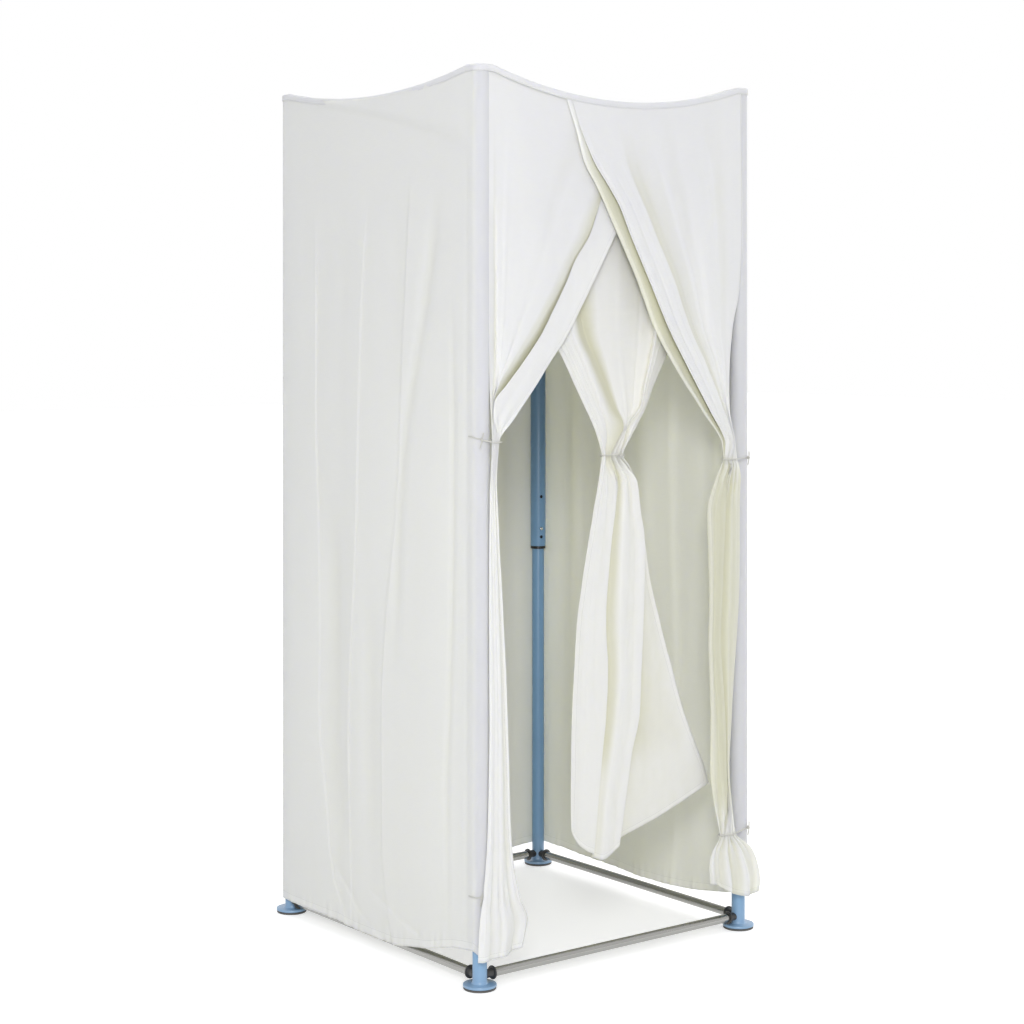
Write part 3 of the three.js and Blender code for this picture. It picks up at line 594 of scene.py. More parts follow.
def weave_group():
    """Shared by all the cloth: the plain weave, loose crinkles and the stitched hem, as one height."""
    group, inside, out = new_group("weave", ("Thread", "Hem Width", "Crinkle"), ("Height", "Shade", "Hem"))
    seam_inset, half_stitch, stitch_pitch, stitch_share, puckers = 0.002, 0.0007, 0.0034, 0.72, 420.0
    flat = node_of(group, "ShaderNodeUVMap", uv_map="cloth").outputs[0]
    parts = group.nodes.new("ShaderNodeSeparateXYZ")
    slubs = node_of(group, "ShaderNodeMapping", Scale=(40.0, 900.0, 1.0))
    slub = node_of(group, "ShaderNodeTexNoise", Scale=1.0, Detail=2.0)
    loose = node_of(group, "ShaderNodeTexNoise", Scale=11.0, Detail=6.0, Roughness=0.62, Distortion=0.8)
    for source, socket in ((flat, parts.inputs[0]), (flat, slubs.inputs["Vector"]),
                           (slubs.outputs[0], slub.inputs["Vector"]), (flat, loose.inputs["Vector"])):
        group.links.new(source, socket)
    turn = calc(group, "DIVIDE", math.pi, inside["Thread"])
    weft, warp = (calc(group, "SINE", calc(group, "MULTIPLY", parts.outputs[axis], turn))
                  for axis in ("X", "Y"))
    edge, run = attribute(group, "from_edge"), attribute(group, "along_edge")
    hem = calc(group, "LESS_THAN", edge, inside["Hem Width"])
    seam = calc(group, "SUBTRACT", inside["Hem Width"], seam_inset)
    off_seam = calc(group, "ABSOLUTE", calc(group, "SUBTRACT", edge, seam))
    in_stitch = calc(group, "FRACT", calc(group, "DIVIDE", run, stitch_pitch))
    stitch = calc(group, "MULTIPLY", calc(group, "LESS_THAN", off_seam, half_stitch),
                  calc(group, "LESS_THAN", in_stitch, stitch_share))
    pucker = calc(group, "MULTIPLY", hem, calc(group, "SINE", calc(group, "MULTIPLY", run, puckers)))
    height = calc(group, "MULTIPLY", loose.outputs["Fac"], inside["Crinkle"])
    for part, weight in ((calc(group, "MULTIPLY", weft, warp), 0.10), (slub.outputs["Fac"], 0.10),
                         (hem, 0.55), (pucker, 0.10), (stitch, -0.45)):
        height = calc(group, "MULTIPLY_ADD", part, weight, height)
    shade = calc(group, "MULTIPLY_ADD", stitch, -0.16, 1.025)
    shade = calc(group, "MULTIPLY_ADD", slub.outputs["Fac"], -0.05, shade)
    for source, label in ((height, "Height"), (shade, "Shade"), (hem, "Hem")):
        group.links.new(source, out[label])
    return group


weave = weave_group()


def cloth_material(name, colour, hem_width, crinkle, fold_shade_strength):
    """The cloth's finish. Where it lies deep in a fold, or a table asks for it, a darker, creamier
    painted shade is mixed in, and where it wraps a post, a painted blue-grey shade stands for the tube
    behind showing through."""
    hem_shares, fold_shade_shares, tube_shade_shares = (1.03, 1.03, 1.03), (0.70, 0.69, 0.55), (0.82, 0.82, 0.90)
    material, tree, shader = new_material(name, colour, roughness=0.82)
    group = placed_group(tree, weave, Thread=0.0007, Hem_Width=hem_width, Crinkle=crinkle)
    # Painted shade: deep folds and the shade given by place turn the colour towards a darker cream.
    fold_shade = calc(tree, "MULTIPLY", attribute(tree, "fold_shade"), fold_shade_strength, clamp=True)
    cloth = colour
    for factor, shares in ((group["Hem"], hem_shares), (fold_shade, fold_shade_shares),
                           (attribute(tree, "tube_shade"), tube_shade_shares)):
        cloth = mix_colours(tree, factor, cloth, tuple(min(c * s, 1) for c, s in zip(colour, shares)))
    shaded = node_of(tree, "ShaderNodeVectorMath", operation="SCALE")
    tree.links.new(cloth, shaded.inputs[0])
    tree.links.new(group["Shade"], shaded.inputs["Scale"])
    tree.links.new(shaded.outputs[0], shader.inputs["Base Color"])
    raised(tree, shader, group["Height"], strength=0.55, distance=0.0012)
    shader.inputs["Sheen Weight"].default_value = 0.12
    shader.inputs["Subsurface Weight"].default_value = 0.9
    shader.inputs["Subsurface Radius"].default_value = (1.0, 1.0, 0.80)
    shader.inputs["Subsurface Scale"].default_value = 0.0028
    return material


cover_cloth = cloth_material(
    "cover_cloth", (0.845, 0.846, 0.772), hem_width=0.020, crinkle=0.45, fold_shade_strength=0.5)


def rounded_square(x, y):
    """Pulls the corners of a square grid in to the round of the posts."""
    over_x, over_y = np.maximum(np.abs(x) - half_spacing, 0), np.maximum(np.abs(y) - half_spacing, 0)
    reach, away = np.maximum(over_x, over_y), np.hypot(over_x, over_y)
    pull = np.where((over_x > 0) & (over_y > 0), reach / np.maximum(away, 1e-9), 1)
    return (np.where(over_x > 0, np.sign(x) * (half_spacing + over_x * pull), x),
            np.where(over_y > 0, np.sign(y) * (half_spacing + over_y * pull), y))


roof_lines = 190
fan_depth, ripple_depth = 0.006, 0.0016
lines = np.linspace(-edge_reach, edge_reach, roof_lines)
roof_x, roof_y = rounded_square(*np.meshgrid(lines, -lines))
roof_z = roof_height(roof_x, roof_y)
inner = step(roof_reach - np.maximum(np.abs(roof_x), np.abs(roof_y)), -0.01, 0.12)
for cx, cy, seed in ((-1, -1, 3), (1, -1, 4), (1, 1, 5), (-1, 1, 6)):
    dx, dy = roof_x - cx * half_spacing, roof_y - cy * half_spacing
    away, turn = np.hypot(dx, dy), np.arctan2(dy, dx)
    fan = 0.4 - np.abs(waves(turn * 3.2, away * 1.5, seed)) ** 0.7
    ring = step(away, 0.06, 0.2) * (1 - step(away, 0.25, 0.55))
    roof_z = roof_z + fan_depth * fan * inner * ring
roof_z = roof_z + ripple_depth * waves(roof_x * 14, roof_y * 14, 9) * inner
roof = cloth_sheet("roof_cloth", np.stack([roof_x, roof_y, roof_z], axis=2), cover_cloth,
                   hems=("left", "right", "top", "bottom"))
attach(roof, "upper_frame")
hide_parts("roof")

# Top binding
# A folded tape of the same cloth, sewn over the joint of the roof and the walls all the way round.
# Two rows of stitches run along it, and it follows the sag of the edges.
binding_section = [
    (-0.0090, 0.0016), (-0.0040, 0.0019), (-0.0010, 0.0020), (0.0008, 0.0012), (0.0016, -0.0002),
    (0.0019, -0.0030), (0.0021, -0.0060), (0.0020, -0.0090), (0.0018, -0.0118), (0.0011, -0.0132),
]
around = []
for turns, (cx, cy) in enumerate(((1, 1), (-1, 1), (-1, -1), (1, -1))):
    start = math.radians(90 * turns)
    for turn in np.linspace(0, math.pi / 2, 11):
        around.append((cx * half_spacing, cy * half_spacing, math.cos(start + turn), math.sin(start + turn)))
    nx, ny = math.cos(start + math.pi / 2), math.sin(start + math.pi / 2)
    for share in np.linspace(0, 1, 74)[1:-1]:
        along = (2 * share - 1) * half_spacing
        around.append((-ny * along + nx * half_spacing, nx * along + ny * half_spacing, nx, ny))
around.append(around[0])
around = np.array(around)
binding_points = []
for out, up in binding_section:
    edge_x = around[:, 0] + around[:, 2] * (skin_radius + out)
    edge_y = around[:, 1] + around[:, 3] * (skin_radius + out)
    binding_points.append(np.stack([edge_x, edge_y, roof_height(edge_x, edge_y) + up], axis=1))
binding_cloth = cloth_material(
    "binding_cloth", (0.825, 0.825, 0.800), hem_width=0.0045, crinkle=0.3, fold_shade_strength=0.2)
binding = cloth_sheet("top_binding", np.stack(binding_points, axis=1), binding_cloth,
                      hems=("left", "right"), gauge=tape_gauge)
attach(binding, "upper_frame")

# Walls
# Three sheets of the same cloth, sewn to the roof and to each other at the posts, which they wrap.
# They hang free to just above the floor in wide flat panels, with a few long folds and a narrow hem.
spacing = 2 * half_spacing
under_binding = 0.0022
corner_half, post_wrap = 45, 232


def through(places, values, at):
    """Smooth curve through a table's rows, with no overshoot between them."""
    places, values = np.asarray(places, float), np.asarray(values, float)
    values = values.reshape(len(places), -1)
    gaps = np.diff(places)[:, None]
    rise = np.diff(values, axis=0) / gaps
    lean = np.zeros_like(values)
    lean[0], lean[-1] = rise[0], rise[-1]
    before, after = rise[:-1], rise[1:]
    same = before * after > 0
    first, second = 2 * gaps[1:] + gaps[:-1], gaps[1:] + 2 * gaps[:-1]
    mean = (first + second) / (first / np.where(same, before, 1) + second / np.where(same, after, 1))
    lean[1:-1] = np.where(same, mean, 0)
    at = np.asarray(at, float)
    k = np.clip(np.searchsorted(places, at, side="right") - 1, 0, len(places) - 2)
    gap = gaps[k]
    t = ((at - places[k])[:, None]) / gap
    return ((2 * t ** 3 - 3 * t ** 2 + 1) * values[k] + (t ** 3 - 2 * t ** 2 + t) * gap * lean[k]
            + (3 * t ** 2 - 2 * t ** 3) * values[k + 1] + (t ** 3 - t ** 2) * gap * lean[k + 1])


def off_line(along, height, line):
    """How far each point lies from a fold line, plus on its far side, and at what share of its length."""
    line = np.array(line) / 1000
    steps = np.linspace(-line[0, 1], -line[-1, 1], 22)
    path = np.stack([through(-line[:, 1], line[:, 0], steps)[:, 0], -steps], axis=1)
    nearest, off, share = np.full(along.shape, 9.0), np.zeros(along.shape), np.zeros(along.shape)
    for i, (start, end) in enumerate(zip(path[:-1], path[1:])):
        run = end - start
        t = np.clip(((along - start[0]) * run[0] + (height - start[1]) * run[1]) / run.dot(run), 0, 1)
        da, dh = along - start[0] - t * run[0], height - start[1] - t * run[1]
        gap = np.hypot(da, dh)
        closer = gap < nearest
        nearest = np.where(closer, gap, nearest)
        off = np.where(closer, np.sign(run[0] * dh - run[1] * da) * gap, off)
        share = np.where(closer, (i + t) / (len(path) - 1), share)
    return off, share


def step_fold(along, height, line, rise, edge, soft, fade):
    """A panel of cloth that stands a little proud and drops at the line. Soft under 0 runs out before
    the line, and over 0 behind it."""
    off, share = off_line(along, height, line)
    beyond = step(off, -edge / 2, edge / 2)
    slope = np.exp(-np.abs(off) / abs(soft))
    shape = slope * (1 - beyond) if soft < 0 else -slope * beyond
    return rise * shape * step(share, 0, fade)


def hollow(along, height, line, depth, width, fade):
    off, share = off_line(along, height, line)
    ends = step(share, 0, fade) * (1 - step(share, 1 - fade, 1) * 0.7)
    return -depth * np.exp(-(off / width) ** 2) * ends


def wall_sheet(node, out, along_axis, start_turn, end_turn, folds, hollows, hem_line, seed):
    """One wall, from post to post and on round both. Lines are (place from the start, height) in
    millimetres, from the top down, and so is the hem, by place."""
    rows, columns = 176, 262
    hem_band, post_band = 0.055, 0.045
    start_arc, end_arc = skin_radius * math.radians(start_turn), skin_radius * math.radians(end_turn)
    path = np.linspace(-start_arc, spacing + end_arc, columns)
    down = np.interp(np.linspace(0, 1, rows), [0, 0.05, 0.11, 0.84, 1], [0, 0.015, 0.05, 0.925, 1])
    down = down[:, None]
    past = np.minimum(path, 0) + np.maximum(path - spacing, 0)
    turn = past / skin_radius
    flat = np.clip(path, 0, spacing)
    across = half_spacing + skin_radius * np.cos(turn)
    place = flat - half_spacing + skin_radius * np.sin(turn)

    def in_room(away):
        return away * out[0] + place * along_axis[0], away * out[1] + place * along_axis[1]

    top = roof_height(*in_room(across)) - under_binding
    hem = through(*zip(*hem_line), path * 1000)[:, 0] / 1000
    hem = hem + 0.0016 * waves(path * 14, path * 0, seed + 5)
    height = top + (hem - top) * down
    along = flat + 0 * height
    push = np.zeros_like(height)
    for fold in folds:
        push += step_fold(along, height, *fold)
    for dent in hollows:
        push += hollow(along, height, *dent)
    near_hem = step(hem_band - (height - hem), 0, 0.05)
    near_top = 1 - step(top - height, 0.0, 0.05)
    for depth, a, b, part, where in (
            (0.0030, along * 5.5, height * 0.8 + along, 1, step(down, 0.02, 0.5)),
            (0.0009, along * 17, height * 2.3, 2, step(down, 0.02, 0.2)),
            (0.0016, along * 46, height * 6, 3, near_hem),
            (0.0006, along * 70, height * 18, 6, near_top)):
        push += depth * waves(a, b, seed + part) * where
    push += 0.0007 * np.sin(along * 230 + 4 * waves(along * 9, height, seed + 4)) * near_hem
    push *= step(np.minimum(flat, spacing - flat), 0.0, post_band)
    x, y = in_room(across + push)
    # Where the wall wraps a post, the cloth gets a painted blue-grey shade for the tube behind.
    wall = cloth_sheet(f"{node}_cloth", np.dstack([x, y, height]), cover_cloth, hems=("bottom",),
                       outside=push, reach=10, tube_shade=step(np.abs(past), 0.002, 0.018))
    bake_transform(wall)
    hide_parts(node)


left_folds = [
    ([(145, 1737), (145, 1426), (145, 1187), (154, 1020), (158, 686), (154, 506), (185, 309), (211, 148),
      (276, 40)], 0.0030, 0.005, 0.075, 0.14),
    ([(369, 1749), (348, 1542), (331, 1263), (323, 1007), (306, 773), (284, 466), (293, 60)],
     0.0026, 0.005, -0.060, 0.14),
    ([(542, 1830), (526, 1606), (502, 1336), (479, 1063), (454, 880), (430, 717), (418, 533), (422, 213),
      (454, 60)], -0.0030, 0.006, 0.045, 0.12),
    ([(145, 1969), (381, 1928), (581, 1885), (755, 1843)], -0.0060, 0.024, 0.070, 0.10),
    ([(345, 140), (420, 114), (565, 71)], 0.0030, 0.012, 0.030, 0.2),
    ([(211, 166), (276, 114), (330, 70), (410, 34)], 0.0030, 0.012, 0.030, 0.2),
]
left_hollows = [
    ([(657, 1767), (600, 1515), (542, 1291), (510, 1178), (486, 950), (480, 700)], 0.0055, 0.022, 0.18),
    ([(695, 1623), (702, 1208), (687, 616), (676, 395), (687, 90)], 0.0030, 0.012, 0.25),
    ([(757, 1900), (757, 1000), (756, 90)], 0.0040, 0.010, 0.10),
    ([(225, 1100), (215, 500), (262, 120)], 0.0090, 0.045, 0.30),
    ([(378, 900), (372, 500), (380, 120)], 0.0050, 0.035, 0.35),
]
left_hem = [(-20, 38), (0, 36), (77, 34), (211, 34), (339, 28), (442, 28), (581, 48), (755, 84), (772, 85),
            (804, 66), (860, 70)]
wall_sheet("left_wall", (-1, 0), (0, -1), corner_half, post_wrap, left_folds, left_hollows, left_hem, 11)
back_folds = [
    ([(240, 1700), (232, 1100), (246, 500), (240, 60)], 0.0050, 0.012, -0.060, 0.35),
    ([(520, 1750), (528, 1100), (510, 500), (514, 60)], 0.0050, 0.012, 0.060, 0.35),
]
back_hollows = [
    ([(120, 1700), (112, 900), (120, 80)], 0.0060, 0.030, 0.3),
    ([(380, 1650), (392, 900), (376, 80)], 0.0060, 0.040, 0.3),
    ([(655, 1700), (664, 900), (656, 80)], 0.0060, 0.030, 0.3),
]
back_hem = [(-20, 54), (0, 54), (110, 45), (220, 40), (330, 37), (440, 35), (550, 37), (660, 45), (772, 56),
            (790, 57)]
wall_sheet("back_wall", (0, 1), (-1, 0), corner_half, corner_half, back_folds, back_hollows, back_hem, 21)
right_folds = [
    ([(250, 1700), (258, 1100), (240, 500), (246, 60)], 0.0045, 0.050, -0.060, 0.35),
    ([(540, 1700), (530, 1100), (548, 500), (540, 60)], 0.0045, 0.050, 0.060, 0.35),
]
right_hollows = [
    ([(90, 1700), (96, 900), (88, 90)], 0.0050, 0.030, 0.3),
    ([(380, 1650), (372, 900), (384, 80)], 0.0055, 0.040, 0.3),
    ([(650, 1700), (642, 900), (652, 80)], 0.0050, 0.030, 0.3),
]
right_hem = [(-90, 96), (-34, 92), (0, 80), (110, 60), (220, 45), (330, 41), (440, 44), (550, 50), (660, 54),
             (772, 56), (790, 56)]
wall_sheet("right_wall", (1, 0), (0, 1), post_wrap, corner_half, right_folds, right_hollows, right_hem,
           31)

# Door flaps
# Two overlapping sheets sewn to the roof's front edge and to the walls at the posts, the right one in
# front. Each is drawn back to its post by two cords, so it hangs in folds that fan out from the cord.
flap_plane = -edge_reach
left_plane = flap_plane + 0.0026
flap_cloth = cloth_material(
    "flap_cloth", (0.850, 0.847, 0.795), hem_width=0.014, crinkle=0.7, fold_shade_strength=0.9)


def ripples(number, random, across):
    """Pleats of uneven width and height, about -1 to 1, by the place across the sheet."""
    count = int(2 * number) + 1
    spots = np.linspace(0, 1, count)
    spots[1:-1] += random.uniform(-0.24, 0.24, count - 2) / count
    heights = np.where(np.arange(count) % 2 == 0, random.uniform(0.5, 1, count),
                       random.uniform(-1, -0.6, count))
    return through(spots, heights, across)[:, 0]


def drawn_cloth(name, places, table, plane, direction, pleats, folds, seed, rows, columns, material, hems,
                crimps, placed_shade, creases=()):
    """A sheet hung from the roof's front edge and drawn in by ties. Each row of the table is
    (start height, end height, dip, pleat depth, fold depth, x at each place or at both ends,
    step away from the plane), the first three in metres and the rest in millimetres. A fold that
    stands forward also lies over a little to the left."""
    lie_over, below_tape = 0.84, 0.0026
    over, under, tie_drop = placed_shade
    even = np.linspace(0, 1, columns)
    across = (even + 2 * through(np.linspace(0, 1, len(places)), places, even)[:, 0]) / 3
    lines = []
    for start_z, end_z, dip, pleat, fold, xs, steps in table:
        if len(xs) == 2:
            xs = xs[0] + (xs[1] - xs[0]) * np.array(places)
        x = through(places, np.array(xs) / 1000, across)[:, 0]
        away = through(places, np.ones(len(places)) * np.array(steps) / 1000, across)[:, 0]
        x = x + lie_over * direction * (away - (away[0] + away[-1]) / 2)
        share = np.clip((x - x[0]) / (x[-1] - x[0]), 0, 1)
        z = start_z + (end_z - start_z) * share - dip * (1 - (2 * across - 1) ** 2)
        lines.append(np.stack([x, away, z, np.full(columns, pleat / 1000), np.full(columns, fold / 1000)]))
    lines = np.array(lines)
    lines[0, 2] = roof_height(lines[0, 0], np.full(columns, plane)) - below_tape
    drops = np.abs(np.diff(lines[:, 2].mean(axis=1)))
    lengths = np.concatenate([[0], np.cumsum(drops)])
    at = np.interp(np.linspace(0, lengths[-1], rows), lengths, np.arange(len(table)))
    x, away, z, pleat, fold = np.stack([
        through(np.arange(len(table)), lines[:, part], at) for part in range(5)])
    random = np.random.default_rng(seed)
    drop = lengths[-1] * np.linspace(0, 1, rows)[:, None]
    narrow, broad = ripples(pleats, random, across), ripples(folds, random, across)
    sway = waves(across[None] * 3 + 0 * drop, drop * 2.5, seed + 1)
    round_off = np.sqrt(np.clip(1 - (2 * across - 1) ** 2, 0, 1))
    edge_off = step(np.minimum(across, 1 - across), 0, 0.10)
    lift = pleat / 2 * (1 + (narrow + 0.25 * sway) * round_off)
    lift = lift + fold / 2 * (1 + broad + 0.35 * sway) * edge_off
    for place, width, depth in crimps:
        along_it = 0.75 + 0.5 * waves(place * 9 + 0 * across[None], drop * 2.1 + place * 5, seed + 5)
        along_it = along_it * step(drop, 0.02, 0.2) * (1 - 0.7 * step(drop, tie_drop, tie_drop + 0.15))
        lift = lift + depth / 1000 * np.exp(-((across - place) / width) ** 2) * along_it
    for height, lean, width, depth, first, last in creases:
        window = step(across, first, first + 0.05) * (1 - step(across, last - 0.05, last))
        lift = lift + depth * np.exp(-((z - height - lean * (across - 0.5)) / width) ** 2) * window
    fine = 0.0010 * waves(x * 38, z * 8 + x * 6, seed + 2) + 0.0005 * waves(x * 80, z * 34, seed + 3)
    fine = fine * step(drop, 0.01, 0.10) * np.clip(0.35 + (pleat + fold) / 0.012, 0, 1)
    y = plane + direction * (away + lift + fine)
    # Painted shade by place across the sheet: one list above the tie and one below, faded in under the roof
    # and partly out near the hem, and added to the fold shade.
    over, under = (through(places, values, across)[None, :, 0] for values in (over, under))
    below = step(drop, tie_drop - 0.08, tie_drop + 0.06)
    shade_by_place = (over * (1 - below) + under * below) * step(drop, 0.05, 0.25)
    shade_by_place = shade_by_place * (1 - 0.65 * step(drop, lengths[-1] - 0.24, lengths[-1] - 0.14))
    return cloth_sheet(name, np.stack([x, y, z], axis=2), material, hems=hems, outward=(0, -1, 0), reach=9,
                       placed_shade=shade_by_place)


left_places = [0, 0.05, 0.09, 0.13, 0.30, 0.52, 0.58, 0.61, 0.64, 0.70, 0.85, 1]
left_table = [
    (1.994, 1.994, 0, 0, 0, [-375.5, -366, -360, -350, -262, 60, 110, 116, 120, 128, 142, 155], 0),
    (1.900, 1.900, 0, 0, 0, [-375.5, -366, -360, -350, -255, 10, 55, 62, 66, 74, 95, 113], 0),
    (1.800, 1.798, 0, 0, 0, [-375.5, -366, -360, -350, -268, -55, -10, -2, -6, 8, 38, 66],
     [0, 0, 0, 0, 0, 0, -1, -2, 0, 0, 0, 0]),
    (1.720, 1.716, 0, 0, 0, [-375.5, -366, -360, -350, -282, -105, -62, -50, -58, -40, -8, 28],
     [0, 0, 0, 0, 0, 0, -1, -3, 0, 0, 0, 0]),
    (1.640, 1.637, 0, 0, 1, [-375.5, -367, -361, -351, -292, -140, -102, -86, -92, -76, -45, -18],
     [0, -3, -5, -2, 0, 0, -1, -5, 2, 1, 0, 0]),
    (1.585, 1.583, 0, 0, 1, [-375.5, -367, -361, -351, -298, -175, -142, -124, -132, -112, -80, -51],
     [0, -4, -6, -3, 0, 3, 2, -9, 6, 5, 3, 1]),
    (1.530, 1.528, 0, 0, 2, [-375.5, -367, -361, -352, -305, -205, -176, -154, -162, -142, -112, -85],
     [0, -5, -9, -4, 0, 3, 2, -10, 8, 7, 5, 3]),
    (1.470, 1.469, 0, 0, 2, [-375.5, -368, -362, -353, -314, -242, -217, -190, -198, -178, -148, -122],
     [0, -6, -10, -5, 0, 3, 2, -11, 9, 9, 7, 4]),
    (1.415, 1.414, 0, 0, 2, [-375.5, -368, -362, -354, -325, -278, -258, -225, -233, -213, -184, -158],
     [0, -6, -11, -5, 1, 4, 3, -12, 10, 10, 8, 5]),
    (1.360, 1.358, 0, 0.4, 2, [-375.6, -369, -363, -356, -338, -318, -306, -272, -280, -260, -231, -205],
     [1, -5, -10, -5, 2, 4, 3, -13, 10, 11, 9, 6]),
    (1.310, 1.306, 0, 1.2, 1, [-375.8, -370, -366, -361, -356, -351, -347, -315, -327, -304, -274, -246],
     [1, -3, -7, -4, 2, 4, 3, -11, 10, 11, 10, 7]),
    (1.270, 1.265, 0, 3, 0, [-376, -372, -369.5, -368, -367, -366.5, -366, -352, -364, -342, -310, -283],
     [3, 0, -1, 0, 2, 4, 4, -4, 10, 12, 11, 8]),
    (1.235, 1.230, 0, 8, 0, [-376.4, -374, -372.5, -371.5, -370, -369, -368, -365, -370, -360, -338, -316],
     [5, 3, 3, 4, 5, 6, 6, 4, 10, 12, 11, 9]),
    (1.206, 1.203, 0, 12, 0,
     [-377, -375.6, -374.5, -373.5, -371, -368, -366, -365, -364, -361, -355, -346], 8.2),
    (1.190, 1.190, 0, 14.5, 0, [-377.3, -357.5], 9.2),
    (1.172, 1.172, 0, 14, 0, [-377.3, -360], 8.6),
    (1.130, 1.130, 0, 10, 4, [-377.6, -362.5], 7.7),
    (1.060, 1.060, 0, 2, 6, [-378, -358], 6.6),
    (0.960, 0.960, 0, 0.7, 6, [-378.5, -351], 6.2),
    (0.775, 0.775, 0, 0.4, 6, [-378.5, -338], 6.2),
    (0.580, 0.580, 0, 0.4, 6, [-377.5, -328], 6.2),
    (0.360, 0.360, 0, 0.5, 7, [-382, -320], 6.2),
    (0.270, 0.270, 0, 1.5, 8, [-388, -313], 6.6),
    (0.225, 0.228, 0, 3, 6, [-394, -306], 7.4),
    (0.202, 0.204, 0, 5, 6, [-397, -301], 7.7),
    (0.178, 0.182, 0, 4, 8, [-402, -294], 7.9),
    (0.130, 0.140, 0, 2.5, 12, [-408, -276], 8.5),
    (0.066, 0.084, 0.004, 2.5, 14, [-411, -289], 9.0),
]
left_flap = drawn_cloth(
    "left_door_flap_cloth", left_places, left_table, left_plane, -1, 6, 2, 41, 280, 160,
    flap_cloth, ("right", "bottom"),
    crimps=((0.20, 0.020, 1.5), (0.42, 0.030, -2.0)),
    placed_shade=([-0.5, -0.2, 0.2, 0, -0.1, 0, 0.8, 1, -0.3, -0.3, -0.2, 0],
             [-0.3, -0.1, 0, 0, 0, 0.1, 0.1, 0.2, 0.3, 0.3, 0.2, 0.1], 0.80))
right_places = [0, 0.02, 0.06, 0.11, 0.12, 0.17, 0.26, 0.34, 0.48, 0.62, 0.80, 0.92, 1]
right_hang = [6, 8, 11, 13, 13, 14, 12, 2, 2, 5, 7, 6, 4]
right_table = [
    (1.955, 1.994, 0, 0, 0, [-164, -160, -154, -147, -149, -135, -75, -45, 30, 110, 185, 280, 374.2], 0),
    (1.876, 1.880, 0, 0, 0, [-135, -129, -124, -114, -120, -103, -35, 0, 60, 135, 207, 290, 374.2],
     [3, 4, 2, 0.5, 5, 6, 6, 3, 0, 0, 3, 0, 0]),
    (1.800, 1.800, 0, 0, 0, [-110, -103, -96, -72, -80, -60, 2, 25, 85, 155, 232, 300, 374.2],
     [6, 7, 5, 0.5, 9, 11, 11, 4, 0, 1, 7, 1, 0]),
    (1.750, 1.750, 0, 0, 0, [-77, -69, -60, -31, -41, -22, 31, 48, 105, 170, 243, 303, 374.2],
     [8, 9, 7, 0.5, 10, 13, 14, 5, 0, 1, 9, 1, 0]),
    (1.705, 1.705, 0, 0, 0, [-50, -42, -32, 4, -8, 12, 58, 74, 125, 185, 250, 306, 374.2],
     [8, 10, 8, 0.5, 11, 14, 16, 6, 0, 2, 10, 1, 0]),
    (1.638, 1.640, 0, 0, 1, [-12, -2, 8, 38, 26, 46, 94, 108, 152, 205, 262, 311, 374.2],
     [8, 11, 8, 0.5, 12, 15, 18, 7, 1, 3, 12, 2, 0]),
    (1.536, 1.540, 0, 0, 2, [46, 55, 64, 95, 83, 101, 150, 162, 196, 235, 270, 318, 370],
     [8, 11, 7, -3, 12, 15, 19, 8, 2, 4, 13, 2, -2]),
    (1.430, 1.434, 0, 1, 2, [97, 106, 114, 152, 140, 156, 197, 208, 233, 257, 283, 313, 344],
     [8, 11, 6, -4, 12, 15, 20, 9, 3, 6, 13, 3, -2]),
    (1.342, 1.345, 0, 3, 1, [156, 165, 172, 208, 196, 211, 248, 257, 274, 290, 304, 318, 332],
     [9, 11, 6, -3, 13, 15, 20, 9, 4, 8, 13, 5, 0]),
    (1.238, 1.240, 0, 8, 0, [237, 244, 249, 272, 263, 274, 299, 304, 310, 315, 319, 323, 327],
     [9, 11, 6, 1, 13, 14, 18, 10, 7, 9, 11, 8, 5]),
    (1.160, 1.160, 0, 13, 0, [297, 299, 302, 311, 310, 316, 326, 329, 331, 333, 335, 337, 339], 9),
    (1.122, 1.122, 0, 15.4, 0, [300.5, 344.5], 9.2),
    (1.106, 1.106, 0, 14, 0, [292, 294, 299, 307, 308, 313, 324, 325, 328, 334, 342, 347, 352], 8.8),
    (1.070, 1.072, 0, 9, 0, [278, 281, 286, 293, 294, 301, 322, 315, 324, 334, 347, 357, 363],
     [7, 8, 10, 12, 12, 12, 11, 5, 4, 5, 7, 6, 5]),
    (1.000, 1.000, 0, 2, 2, [258, 261, 267, 275, 277, 286, 316, 309, 318, 330, 346, 357, 364], right_hang),
    (0.900, 0.900, 0, 1.4, 3, [262, 265, 270, 277, 279, 286, 310, 303, 313, 327, 345, 357, 364], right_hang),
    (0.800, 0.800, 0, 1.2, 3, [265, 267, 272, 278, 279, 285, 304, 297, 308, 323, 343, 355, 362], right_hang),
    (0.700, 0.700, 0, 1.2, 3, [262, 264, 269, 275, 276, 282, 299, 292, 303, 317, 336, 348, 354], right_hang),
    (0.600, 0.600, 0, 1.2, 3, [266, 268, 273, 280, 281, 288, 307, 300, 309, 319, 332, 340, 345], right_hang),
    (0.507, 0.507, 0, 1.2, 3, [270, 272, 278, 286, 288, 295, 315, 308, 315, 321, 330, 335, 338], right_hang),
    (0.400, 0.400, 0, 2, 2, [268, 271, 278, 288, 290, 299, 319, 313, 318, 321, 325, 328, 330],
     [6, 8, 11, 13, 13, 14, 12, 3, 3, 5, 7, 6, 4]),
    (0.300, 0.300, 0, 9, 0, [279, 282, 287, 296, 298, 306, 322, 318, 322, 325, 329, 331, 334],
     [7, 8, 9, 10, 11, 12, 11, 6, 6, 7, 8, 7, 6]),
    (0.241, 0.241, 0, 16, 0, [290, 339], 8.5),
    (0.225, 0.224, 0, 14, 3, [283, 356], 8.5),
    (0.205, 0.203, 0, 9, 7, [269, 387], 8.5),
    (0.172, 0.166, 0, 5, 12, [261, 413], 8.8),
    (0.128, 0.116, 0.004, 3, 15, [265, 426], 9.2),
    (0.140, 0.088, 0.022, 2.5, 15, [268, 422], 9.2),
]
